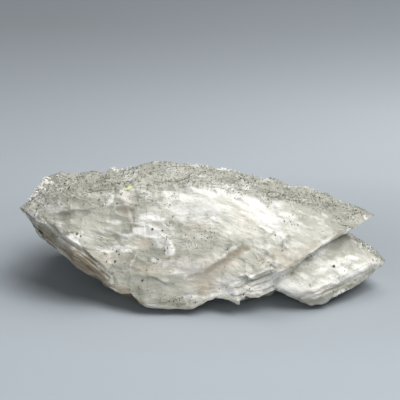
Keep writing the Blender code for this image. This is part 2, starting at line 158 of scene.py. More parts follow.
def soft_noise(points, size, seed):
    """Value noise from -1 to 1: random numbers on a lattice, blended by a smooth fifth-degree fade."""
    scaled = points / size
    base = np.floor(scaled)
    t = scaled - base
    t = t * t * t * (t * (t * 6 - 15) + 10)
    total = np.zeros(len(points))
    for corner in np.ndindex(2, 2, 2):
        offset = np.array(corner)
        weight = np.prod(np.where(offset, t, 1 - t), axis=1)
        total += weight * hashed(base + offset, seed)
    return total * 2 - 1


def chipped(points, size, seed, curve, tilt):
    """The lowest of many leaning bowls round jittered seeds: curve times the squared distance from
    the seed, plus tilt times the distance along the seed's own random lean."""
    scaled = points / size
    base = np.floor(scaled)
    lowest = np.full(len(points), np.inf)
    for neighbour in np.ndindex(3, 3, 3):
        cell = base + np.array(neighbour) - 1
        jitter = np.stack([hashed(cell, seed + i) for i in range(3)], axis=1)
        away = scaled - (cell + jitter)
        lean = np.stack([hashed(cell, seed + 3 + i) for i in range(3)], axis=1) - 0.5
        bowl = curve * (away**2).sum(axis=1) + tilt * (away * lean).sum(axis=1)
        lowest = np.minimum(lowest, bowl)
    return lowest


def scallops(points, size, seed):
    """Shell-like chips from about -1 to 1: deep bowls."""
    return chipped(points, size, seed, 1.0, 0.9) * 3.2 - 0.45


def facets(points, size, seed):
    """Cleavage facets from about -1 to 1: bowls so shallow that they are nearly flat."""
    return chipped(points, size, seed, 0.45, 1.15) * 4 + 0.4


def terraces(points, size, levels, seed):
    """Cleavage steps from -1 to 1: soft noise pressed towards flat levels with short risers."""
    height = (soft_noise(points, size, seed) + 0.35 * soft_noise(points, size / 2.7, seed + 1)) * levels
    level = np.round(height)
    riser = np.clip((height - level) * 2, -1, 1)
    return (level + 0.5 * riser**7) / levels


def view_axes():
    """The way up and the way out of the plane that faces VIEW_TILT degrees up, and the place aimed at."""
    tilt = np.radians(VIEW_TILT)
    up = np.array([0, np.sin(tilt), np.cos(tilt)])
    out = np.array([0, -np.cos(tilt), np.sin(tilt)])
    return up, out, np.array([VIEW_RIGHT, 0, 0]) + VIEW_UP * up


def seen(points):
    """(a, b) of each point: its place in that plane, looked at from VIEW_DISTANCE."""
    up, out, aim = view_axes()
    from_aim = points - aim
    scale = VIEW_DISTANCE / (VIEW_DISTANCE - from_aim @ out)
    return np.stack([VIEW_RIGHT + from_aim[:, 0] * scale, VIEW_UP + from_aim @ up * scale], axis=1)


def along(places, line):
    """For each place its distance from the line, positive on the left, and how far it is from the
    line's start to its end, as a share."""
    line = np.array(line, float)
    nearest = np.full(len(places), np.inf)
    side = np.zeros(len(places))
    for start, end in zip(line[:-1], line[1:]):
        step = end - start
        length = np.hypot(*step)
        offset = places - start
        t = np.clip(offset @ step / length**2, 0, 1)
        gap = np.hypot(*(offset - t[:, None] * step).T)
        turn = step[0] * offset[:, 1] - step[1] * offset[:, 0]
        closer = gap < nearest - 1e-9
        nearest = np.where(closer, gap, nearest)
        side = np.where(closer, np.sign(turn), side)
    chord = line[-1] - line[0]
    return nearest * side, np.clip((places - line[0]) @ chord / (chord @ chord), 0, 1)


def turned(places, centre, degrees):
    """The two coordinates of each place from a centre, along axes turned by so many degrees."""
    turn = np.radians(degrees)
    offset = places - np.array(centre)
    u = offset[:, 0] * np.cos(turn) + offset[:, 1] * np.sin(turn)
    return u, offset[:, 1] * np.cos(turn) - offset[:, 0] * np.sin(turn)


def dished(places, dish):
    """Depth of a shell-like hollow: full in the middle, less by the square of the share gone outwards."""
    centre, halves, turn, deep = dish
    u, v = turned(places, centre, turn)
    return deep * np.clip(1 - (u / halves[0]) ** 2 - (v / halves[1]) ** 2, 0, 1)


def placed_features(places):
    """Height in millimetres of the listed ledges, ridges and dishes at each (a, b)."""
    height = np.zeros(len(places))
    for line, rise, reach, riser in LEDGES:
        distance, run = along(places, line)
        ends, edge = (np.clip(share, 0, 1) for share in (
            np.minimum(run * 3, (1 - run) * 8), distance / riser + 0.5))
        back = np.clip(1 - distance / reach, 0, 1)
        height += rise * back * (edge * edge * (3 - 2 * edge)) * (ends * ends * (3 - 2 * ends))
    hollow = [(line, -depth, half_width) for line, depth, half_width in CREVICES]
    for line, rise, half_width in RIDGES + hollow:
        distance, run = along(places, line)
        ends = np.clip(np.minimum(run, 1 - run) * 6, 0, 1)
        height += rise * np.clip(1 - abs(distance) / half_width, 0, 1) * ends
    for dish in DISHES:
        height -= dished(places, dish)
    return height


def plateau(value, low, high, blend):
    """1 where value lies between low and high, falling to 0 within blend outside them."""
    return np.clip(np.minimum(value - low, high - value) / blend + 1, 0, 1)


def off_tips(points, reach, least):
    """least at the two tips of the plate, rising to 1 over reach from them."""
    inward = np.minimum(points[:, 0] - LEFT_TIP[0], RIGHT_TIP[0] - points[:, 0])
    return np.clip(inward / reach, least, 1)


def plate_relief(points, strip):
    """How far the broken surface of the plate stands off the smooth form, in millimetres.

    strip is the place round the section: CREST, BROW and so on, back to the crest at STRIPS.
    """
    front = plateau(strip, BROW, RIM, 0.25)
    top = np.maximum(plateau(strip, CREST, BROW, 0.3), plateau(strip, STRIPS, STRIPS + 1, 0.3))
    edge = plateau(strip, 3.2, 4.9, 0.4) * (1 - plateau(points[:, 0], -34, 9, 5))
    hidden = plateau(strip, 4.9, 8.6, 0.5)
    swell = 0.6 * soft_noise(points, 19.0, 11) + 0.25 * soft_noise(points, 7.0, 12)
    chips = (0.45 + 0.9 * hidden) * scallops(points, 17.0, 21)
    chips += (0.15 + 0.15 * top + 0.4 * hidden) * scallops(points, 6.5, 31)
    chips += 1.9 * hidden * (scallops(points, 31.0, 101) - 0.4)
    steps = front * 0.6 * terraces(points * (0.6, 1.0, 1.2), 21.0, 1.6, 41)
    crust = top * 0.35 * soft_noise(points, 3.4, 51)
    leaf = strip * 3.2 + 0.6 * soft_noise(points, 23.0, 61)
    leaves = edge * LEAF_HEIGHT * ((leaf - np.floor(leaf)) * 2 - 1)
    placed = plateau(strip, BROW, 4.3, 0.25) * placed_features(seen(points))
    under_wing = plateau(points[:, 0], 17, 31, 4)
    groove = UNDERCUT * under_wing * plateau(strip, 3.08, LIP, 0.08) * (LIP - strip)
    return (swell + chips + steps + crust + leaves) * off_tips(points, 18, 0.12) + placed - groove - 0.3


def laid(points):
    """Coordinates drawn out along the grain: level on the left, falling to the right on the right."""
    fall = 0.4 * np.maximum(points[:, 0] - 4, 0) + 0.25 * np.minimum(points[:, 0] + 40, 0)
    return np.stack([points[:, 0] * 0.45, points[:, 1], points[:, 2] + fall], axis=1)


def laminated(places):
    """Height in millimetres of the leaves beside each line, noise across the line that fades out at
    its reach; and how much shade is painted into the gaps between them, from 0 to 1."""
    height, gaps = np.zeros((2, len(places)))
    for i, (line, reach, spacing, rise, dark) in enumerate(LAMINATIONS):
        distance, run = along(places, line)
        across = np.stack([distance / spacing, run * 4, np.zeros_like(run)], axis=1)
        leaf = np.clip(1.8 * soft_noise(across, 1.0, 241 + i), -1, 1)
        near = np.clip(1.5 - 1.5 * abs(distance) / reach, 0, 1)
        height += rise * leaf * near
        gaps = np.maximum(gaps, dark * np.clip(0.15 - 1.3 * leaf, 0, 1) * near)
    return height, gaps


def fine_breaks(points, places):
    """The breaks too small for the ridge lines: cleavage facets and feathery steps along the grain,
    nearly none of them on the calm faces; and the leaves beside the edges. In millimetres."""
    lay = laid(points)
    breaks = 0.42 * facets(lay, 5.2, 201) + 0.2 * facets(lay, 2.3, 211)
    breaks += 0.34 * terraces(lay, 6.0, 2.4, 221) + 0.15 * terraces(lay, 2.4, 2.0, 231)
    return breaks * (1 - 0.8 * patched(places, CALM_PATCHES)) + laminated(places)[0]


def plate_grain(points, strip):
    """The fine relief of the plate: breaks in front, a gritty crust on top, chips behind, in
    millimetres."""
    front = plateau(strip, BROW, 4.4, 0.2)
    top = np.maximum(plateau(strip, CREST, BROW, 0.2), plateau(strip, STRIPS, STRIPS + 1, 0.2))
    hidden = plateau(strip, 4.4, 8.7, 0.4)
    grit = 0.2 * scallops(points, 2.4, 251) + 0.26 * soft_noise(points, 1.3, 261)
    grit += 0.4 * facets(points, 5.0, 271)
    chips = 0.5 * facets(points, 7.0, 281) + 0.3 * terraces(points, 7.5, 2.0, 291)
    chips += 0.12 * scallops(points, 3.3, 301)
    grain = front * fine_breaks(points, seen(points)) + top * grit + hidden * chips
    return off_tips(points, 8, 0.2) * grain


def grid_faces(rows, columns):
    """Quads of a grid that closes on itself across its columns."""
    index = np.arange(rows * columns).reshape(rows, columns)
    a, b = index[:-1], index[1:]
    return np.stack([a, np.roll(a, -1, 1), np.roll(b, -1, 1), b], axis=-1).reshape(-1, 4)


def capped(quads, rows, columns, first, last):
    """The quads and the two fans of triangles that close the ends, with the corners kept in order."""
    index = np.arange(rows * columns).reshape(rows, columns)
    start, end = index[0], index[-1]
    near = np.stack([np.full(columns, first), np.roll(start, -1), start], axis=1)
    far = np.stack([np.full(columns, last), end, np.roll(end, -1)], axis=1)
    return quads.tolist() + near.tolist() + far.tolist()


def normals_of(points, quads):
    """Unit vertex normals, pointing outwards: the cross product of each quad's diagonals, summed."""
    corners = points[quads]
    across = np.cross(corners[:, 2] - corners[:, 0], corners[:, 3] - corners[:, 1])
    normals = np.zeros_like(points)
    for i in range(4):
        np.add.at(normals, quads[:, i], across)
    normals /= np.linalg.norm(normals, axis=1, keepdims=True) + 1e-9
    middle = points.mean(axis=0)
    return normals if ((across * (corners.mean(axis=1) - middle)).sum() > 0) else -normals


def plate_skin():
    """The plate: section by section, straight lines between neighbouring ridges, and one parabola
    through brow, belly and rim; then moved out along its normals by the relief and the grain."""
    lines = [np.array([LEFT_TIP, *line, RIGHT_TIP], float) for line in RIDGE_LINES.values()]
    share = np.linspace(0, 1, SECTIONS + 2)[1:-1]
    share = 0.35 * (1 - np.cos(np.pi * share)) / 2 + 0.65 * share
    x = LEFT_TIP[0] + (RIGHT_TIP[0] - LEFT_TIP[0]) * share
    ridges = np.stack(
        [np.stack([x] + [np.interp(x, line[:, 0], line[:, i]) for i in (1, 2)], axis=1) for line in lines],
        axis=1,
    )
    strip = np.concatenate([i + np.arange(n) / n for i, n in enumerate(STRIP_COLUMNS)])
    first = strip.astype(int)
    t = (strip - first)[None, :, None]
    grid = ridges[:, first] * (1 - t) + ridges[:, (first + 1) % STRIPS] * t
    bulge = (strip > BROW) & (strip < RIM)
    t = (strip[bulge] - BROW)[None, :, None]
    brow, belly, rim = (ridges[:, [i]] for i in (BROW, BELLY, RIM))
    grid[:, bulge] = brow * (t - 1) * (t - 2) / 2 - belly * t * (t - 2) + rim * t * (t - 1) / 2
    rows, columns = grid.shape[:2]
    quads = grid_faces(rows, columns)
    points = grid.reshape(-1, 3)
    places = np.tile(strip, rows)
    points = points + normals_of(points, quads) * plate_relief(points, places)[:, None]
    points = points + normals_of(points, quads) * plate_grain(points, places)[:, None]
    faces = capped(quads, rows, columns, len(points), len(points) + 1)
    strips = np.append(places, [BROW, BROW])
    return np.vstack([points, LEFT_TIP, RIGHT_TIP]), faces, strips


def wedge_planes():
    """Unit normals and distances from WEDGE_CENTRE of the planes round the wedge's corners."""
    shape = bmesh.new()
    for corner in WEDGE_CORNERS:
        shape.verts.new(corner)
    bmesh.ops.convex_hull(shape, input=shape.verts)
    shape.normal_update()
    normals = np.array([face.normal for face in shape.faces])
    centres = np.array([face.calc_center_median() for face in shape.faces])
    shape.free()
    reach = ((centres - WEDGE_CENTRE) * normals).sum(axis=1)
    normals *= np.sign(reach)[:, None]
    return normals, abs(reach)


def cube_ways(n):
    """Unit directions on the six faces of a cube, n cells a side, spread evenly by the tangent of
    an eighth of a turn; shared corners are one point. Also the quads."""
    u, v = np.meshgrid(*[np.tan(np.pi / 4 * np.linspace(-1, 1, n + 1))] * 2, indexing="ij")
    one = np.ones_like(u)
    sheets = [np.stack(axes, axis=-1).reshape(-1, 3) for sign in (-1, 1)
              for axes in ((sign * one, u, v), (u, sign * one, v), (u, v, sign * one))]
    ways = np.vstack(sheets)
    ways /= np.linalg.norm(ways, axis=1, keepdims=True)
    rounded = np.round(ways * 1e5).astype(int)
    _, kept, same = np.unique(rounded, axis=0, return_index=True, return_inverse=True)
    index = np.arange((n + 1) ** 2).reshape(n + 1, n + 1)
    cells = np.stack([index[:-1, :-1], index[1:, :-1], index[1:, 1:], index[:-1, 1:]], axis=-1)
    quads = np.vstack([cells.reshape(-1, 4) + i * (n + 1) ** 2 for i in range(6)])
    quads = same.reshape(-1)[quads]
    ways = ways[kept]
    corners = ways[quads]
    out = np.cross(corners[:, 1] - corners[:, 0], corners[:, 2] - corners[:, 0])
    inward = (out * corners[:, 0]).sum(axis=1) < 0
    quads[inward] = quads[inward][:, ::-1]
    return ways, quads


def wedge_skin():
    """The wedge: in each direction from its centre, as far as the nearest of its planes; then moved
    out along its normals by chips, the dish in its top and the fine breaks."""
    normals, reach = wedge_planes()
    ways, quads = cube_ways(WEDGE_CELLS)
    facing = ways @ normals.T
    far = np.where(facing > 1e-3, reach / np.maximum(facing, 1e-3), np.inf).min(axis=1)
    points = WEDGE_CENTRE + ways * far[:, None]
    outward = normals_of(points, quads)
    upper = np.clip(outward[:, 2] * 3 - 1, 0, 1)
    places = seen(points)
    height = 0.3 * soft_noise(points, 9.0, 71) + 0.3 * scallops(points, 11.0, 81)
    height += 0.2 * scallops(points, 5.0, 91) - upper * dished(places, WEDGE_DISH)
    height += 0.9 * fine_breaks(points, places) - 0.3
    return points + outward * height[:, None], quads.tolist(), np.full(len(points), NO_STRIP)


def added(name, data):
    """A new object of this mesh, light or camera, linked to the scene."""
    made = bpy.data.objects.new(name, data)
    bpy.context.scene.collection.objects.link(made)
    return made


def mesh_object(name, points, faces):
    """An object at the origin from points in millimetres, its faces turned outwards."""
    mesh = bpy.data.meshes.new(name)
    mesh.from_pydata((points * MM).tolist(), [], faces)
    shape = bmesh.new()
    shape.from_mesh(mesh)
    bmesh.ops.recalc_face_normals(shape, faces=shape.faces)
    shape.to_mesh(mesh)
    shape.free()
    return added(name, mesh)


def set_attribute(mesh, name, values):
    """Puts a number at each vertex, under this name."""
    layer = mesh.attributes.new(name, "FLOAT", "POINT")
    layer.data.foreach_set("value", np.asarray(values, np.float32))


def read(items, name, width=1, kind=np.float32):
    """This property of every one of the items: a number each, or a row of them where width says so."""
    flat = np.zeros(len(items) * width, kind)
    items.foreach_get(name, flat)
    if kind is np.float32:
        flat = flat.astype(float)
    return flat.reshape(-1, width) if width > 1 else flat


def get_attribute(mesh, name):
    """The number at each vertex under this name."""
    return read(mesh.attributes[name].data, "value")


def points_of(mesh):
    """The mesh's vertices in millimetres."""
    return read(mesh.vertices, "co", 3) / MM


def vertex_normals(mesh):
    """The unit normal at each vertex."""
    return read(mesh.vertex_normals, "vector", 3)


def make_stone():
    """Plate and wedge joined into one closed skin, with its underside flat on z = 0."""
    parts = []
    for name, (points, faces, strip) in (("plate", plate_skin()), ("wedge", wedge_skin())):
        part = mesh_object(name, points, faces)
        set_attribute(part.data, "strip", strip)
        parts.append(part)
    plate, wedge = parts
    join = plate.modifiers.new("grown_together", "BOOLEAN")
    join.operation = "UNION"
    join.object = wedge
    join.solver = "MANIFOLD"
    bpy.context.view_layer.update()
    evaluated = plate.evaluated_get(bpy.context.evaluated_depsgraph_get())
    mesh = bpy.data.meshes.new_from_object(evaluated)
    for part in parts:
        bpy.data.objects.remove(part)
    points = points_of(mesh) + SHIFT
    points[:, 2] = np.maximum(points[:, 2], 0)
    mesh.vertices.foreach_set("co", (points * MM).astype(np.float32).ravel())
    mesh.update()
    return added("milky_barite", mesh)


# Patches of colour: a and b of the centre, two half lengths, turn in degrees, strength.
# White patches: bruises and cleavage, and in places painted light that brightens facets the lamps leave in
# shade.
WHITE_AND_PAINTED_LIGHT_PATCHES = [
    (-12.7, 48.7, 3.7, 2.1, 0, 0.6), (-30, 45.9, 2.5, 3.3, 0, 0.7), (-2.4, 46.3, 6.2, 1.6, -4, 0.5),
    (-12.7, 37.2, 3.3, 2.5, 0, 1), (31.7, 21.2, 2.9, 3.3, 0, 0.8), (35, 23.7, 2.9, 2.5, 0, 0.6),
    (50.2, 19.1, 3.3, 2.5, 20, 0.4), (59.2, 29.4, 2.9, 1.6, -25, 0.4), (58, 6.8, 2.1, 3.3, 0, 0.8),
    (21.4, 42.2, 6.2, 1.6, -14, 0.5), (42, 36.4, 4.1, 1.6, -16, 0.5), (42, 9.7, 2.9, 2.1, 0, 0.6),
    (48.9, 6.8, 3.7, 1.6, 25, 0.8), (1.7, 22.8, 2.9, 2.5, 0, 0.45), (-8.6, 25.7, 3.3, 2.1, 0, 0.45),
    (-37.4, 26.1, 3.7, 2.1, 0, 0.65), (-67, 36.8, 3.7, 2.5, 0, 0.6), (-57.9, 41.8, 4.9, 2.1, 20, 0.4),
    (5, 30.2, 17.3, 7.4, -8, 0.42), (-69.8, 30.7, 1.2, 2.1, -45, 0.6), (-60.8, 33.5, 4.1, 2.5, 0, 0.6),
    (-70.7, 29, 2.1, 2.5, -40, 1.2), (-54.2, 17.9, 4.5, 2.1, -42, 1.4), (-5.3, 36.8, 6.2, 2.5, 0, 1),
    (-9, 30.7, 3.7, 3.7, 0, 0.9), (2.9, 31.1, 4.9, 2.1, -8, 1.2), (-16.4, 19.1, 2.1, 2.9, -20, 1.5),
    # Painted light: (-4.5, 6.8) on the shaded slope beside the fold ledge, (7.8, 0.7) on the shaded face
    # below it.
    (-7, 18.7, 2.5, 2.5, 0, 0.4), (-4.5, 6.8, 4.9, 3.3, 0, 1), (7.8, 0.7, 6.2, 3.3, 15, 1.2),
    # Painted light: (48.1, 15.5) where the wing's shadow falls on the wedge.
    (28, 8.9, 2.5, 2.9, 0, 0.7), (25.5, 14.6, 2.9, 2.9, 0, 0.4), (48.1, 15.5, 5.3, 1.6, 32, 0.9),
    (30.4, 33.9, 2.9, 3.7, 0, 0.45), (35.8, 28.6, 3.3, 2.9, 0, 0.45), (2.1, 20.8, 3.3, 2.1, 0, 0.4),
    (0.9, 39.7, 10.7, 2.3, -3, 0.8), (12, 39.3, 5.8, 2.5, -18, 0.9), (20.2, 34.8, 6.6, 4.5, -25, 1),
    (26.7, 28.6, 7, 3.3, -22, 0.85), (18.5, 27, 5.8, 3.7, -20, 0.6), (35.8, 22.8, 3.7, 4.9, -15, 0.3),
    # Painted light: (-7, 8.1) on the shaded slope beside the fold ledge.
    (-10.2, 33.9, 8.2, 2.9, -5, 0.55), (-21.7, 28.6, 7.4, 1.8, 0, 0.85), (-7, 8.1, 5.8, 3.7, 0, 0.85),
    (5.4, 1.1, 6.2, 2.9, 15, 0.6), (-55, 19.1, 2.9, 2.9, -42, 1.1), (-50.5, 21.6, 1.2, 1.6, -30, 0.8),
    (-45.6, 21.2, 3.7, 2.1, 0, 0.3), (-41.9, 16.3, 4.9, 0.7, 4, 0.5), (-34.9, 16.3, 6.6, 0.7, 6, 0.75),
    (-30.8, 20.4, 4.5, 1.8, 18, 0.85), (-40.2, 23.3, 3.7, 2.1, 10, 0.3), (-38, 37, 1, 2.3, -25, 1.2),
    (-31.2, 37.2, 2.9, 1.6, 0, 0.8), (-33.3, 39.5, 1.6, 1.1, 0, 0.85), (-23.8, 38.1, 1.6, 2.5, -20, 0.5),
    (-15.6, 38.9, 1.6, 2.1, 0, 0.5), (-65.3, 45, 1.6, 1.6, 30, 1), (-62.4, 42.6, 1.6, 1, 0, 0.7),
    (-67.8, 39.7, 2.9, 1.2, 32, 1.6), (-70.7, 36.8, 1.8, 0.6, 35, 1), (-35.3, 49.2, 3.3, 0.7, 4, 0.9),
    (8.3, 49.2, 3.3, 1, -14, 0.9), (-4.5, 51.2, 3.3, 0.6, -10, 0.8), (25.5, 44.2, 2.9, 0.6, -12, 0.8),
    (36.6, 41.8, 3.3, 0.7, -10, 0.7), (67, 28.6, 2.1, 0.5, -40, 0.9), (42.4, 41.3, 2.1, 0.6, -15, 0.6),
    (24.3, -0.2, 8.2, 3.7, 12, 1.1), (26.3, 8.1, 3.3, 2.9, 0, 0.5), (10.3, 1.1, 5.8, 2.9, 20, 0.85),
    (30, 0.7, 3.7, 2.9, 0, 1), (65.4, 7.2, 4.1, 2.1, -35, 0.8), (15.2, -2.2, 3.7, 2.1, 8, 0.7),
    (30, 2.7, 3.3, 1.6, -35, 0.9), (1.3, -3.5, 4.9, 1.4, 15, 0.6), (38.3, -1.4, 4.1, 2.5, 0, 0.9),
    (33.3, 3.9, 2.9, 3.7, 0, 0.9), (65.4, 6.4, 5.3, 1.6, 32, 0.85), (55.1, 10.1, 8.2, 2.3, 10, 0.6),
    (47.3, 10.1, 3.3, 2.9, -30, 0.3), (37.4, -0.2, 3.7, 2.9, -35, 0.85), (41.1, 3.1, 3.7, 2.5, -40, 0.7),
    (50.6, 3.1, 5.8, 2.1, 28, 0.7), (67, 15.9, 1.6, 1, -45, 0.5), (61.3, 18.7, 2.1, 0.8, -50, 0.6),
    (-7, -2.6, 4.9, 1.1, 15, 0.6), (-17.6, 10.1, 2.9, 0.8, 18, 0.8), (-11.1, 24.1, 2.5, 1.2, -35, 0.4),
    # Painted light: (8.7, -0.2) on the shaded face below the fold ledge.
    (8.7, -0.2, 3.7, 1.6, 15, 1.5), (-70.7, 29.8, 1.2, 1.8, -40, 1.6), (-26.3, 26.5, 2.5, 1, 0, 1),
    (-52.2, 16.7, 4.5, 1.1, -42, 1.5), (-39, 15, 3.3, 0.9, 0, 1.2), (-31.2, 15, 2.9, 0.9, 0, 1.2),
    (-20.5, 10.5, 1.4, 0.9, 0, 0.7), (-15.2, 9.7, 2.1, 1.1, 0, 1.2), (17.7, 41.3, 2.1, 1.1, 0, 1),
    (31.7, 31.9, 2.1, 2.5, 0, 0.8), (54.7, 10.1, 4.1, 1.6, 12, 0.95), (60.9, 12.2, 3.3, 1.1, 10, 0.95),
    (49.8, 7.2, 3.7, 1.4, 20, 0.85), (-53, 17.1, 3.7, 0.9, -42, 1.7), (29.2, 0.2, 2.5, 3.3, 0, 1.4),
    # Painted light: (42.8, -2.2) on the wedge's down-facing bevel.
    (42.8, -2.2, 4.9, 2.1, 0, 1.4), (58.4, -2.2, 3.7, 1.6, 25, 1.2), (71.1, 10.1, 2.5, 2.1, -40, 1.3),
    (-5.3, -3.5, 3.3, 1.2, 10, 1), (26.7, 11.3, 2.1, 2.9, 0, 0.8), (56.3, 23.3, 3.7, 0.7, -24, 0.3),
    (47.3, 28.2, 5.8, 0.8, -22, 0.3), (39.9, 16.7, 5.8, 1.2, 25, 0.2), (12, 21.6, 5.8, 1.2, 10, 0.3),
]
# Lines of colour: points, half width, strength.
WHITE_AND_PAINTED_LIGHT_LINES = [
    ([(-26.7, 23.3), (-23.4, 23.5), (-19.3, 21.6), (-15.6, 18.5), (-13.3, 15.2)], 1.8, 1.4),
    # Painted light: the line from (30, 4.6) to (36.6, 7.6) brightens the shade on the plate's rim above the
    # wedge.
    ([(16.5, 30.7), (21.8, 27.4), (28.4, 22.8)], 1, 1.2), ([(30, 4.6), (33.7, 6.2), (36.6, 7.6)], 0.9, 1.2),
    ([(-27.9, 28), (-21.7, 28.6), (-16.4, 26.5), (-12.3, 23.7)], 0.5, 0.85),
    ([(-42.7, 16.3), (-34.9, 15.9), (-27.1, 17.1)], 0.6, 0.6),
    ([(-26.7, 15.5), (-28.3, 12.2), (-29.6, 8.5)], 0.5, 0.8),
    ([(-62.9, 31.1), (-59.6, 26.1), (-56.3, 21.6), (-53, 18.3)], 0.5, 0.5),
    ([(-71.9, 31.5), (-70.2, 29), (-67.8, 26.1)], 0.8, 0.8),
    ([(32.1, 22.8), (32.9, 20), (34.1, 16.7)], 0.6, 0.9),
    ([(-48.9, 16.7), (-45.6, 13), (-42.3, 8.9), (-39.8, 6.4)], 0.5, 0.45),
    ([(58.8, 22.4), (61.7, 19.6), (64.6, 17.1)], 0.6, 0.9),
    ([(65.4, 17.5), (67.8, 16.3), (71.5, 14.2)], 0.7, 0.6),
    ([(45.2, -1), (52.2, 1.3), (58.8, 4.4), (64.6, 7.8), (69.9, 11.3)], 0.9, 0.75),
    ([(39.9, 31.1), (44.8, 29), (49.8, 28.2)], 0.5, 0.6),
    ([(47.3, 27), (53.1, 24.9), (58, 24.1)], 0.5, 0.5),
    ([(38.3, 27), (43.6, 24.5), (48.9, 23.3)], 0.5, 0.45),
    ([(24.3, 22.8), (30.4, 21.2), (36.6, 19.6)], 0.5, 0.4),
    ([(52.2, 33.1), (55.5, 31.5), (58.4, 30.2)], 0.5, 0.7),
    ([(48.9, 30.2), (52.2, 28.2), (55.5, 27.4)], 0.4, 0.5),
    ([(-5.3, 5.6), (0, 8.1), (5.8, 10.9), (11.5, 15.5), (15.2, 17.9)], 0.6, 0.55),
    ([(5.8, -3.9), (12, -1), (17.7, 2.7), (21.4, 5.2)], 0.5, 0.8),
]
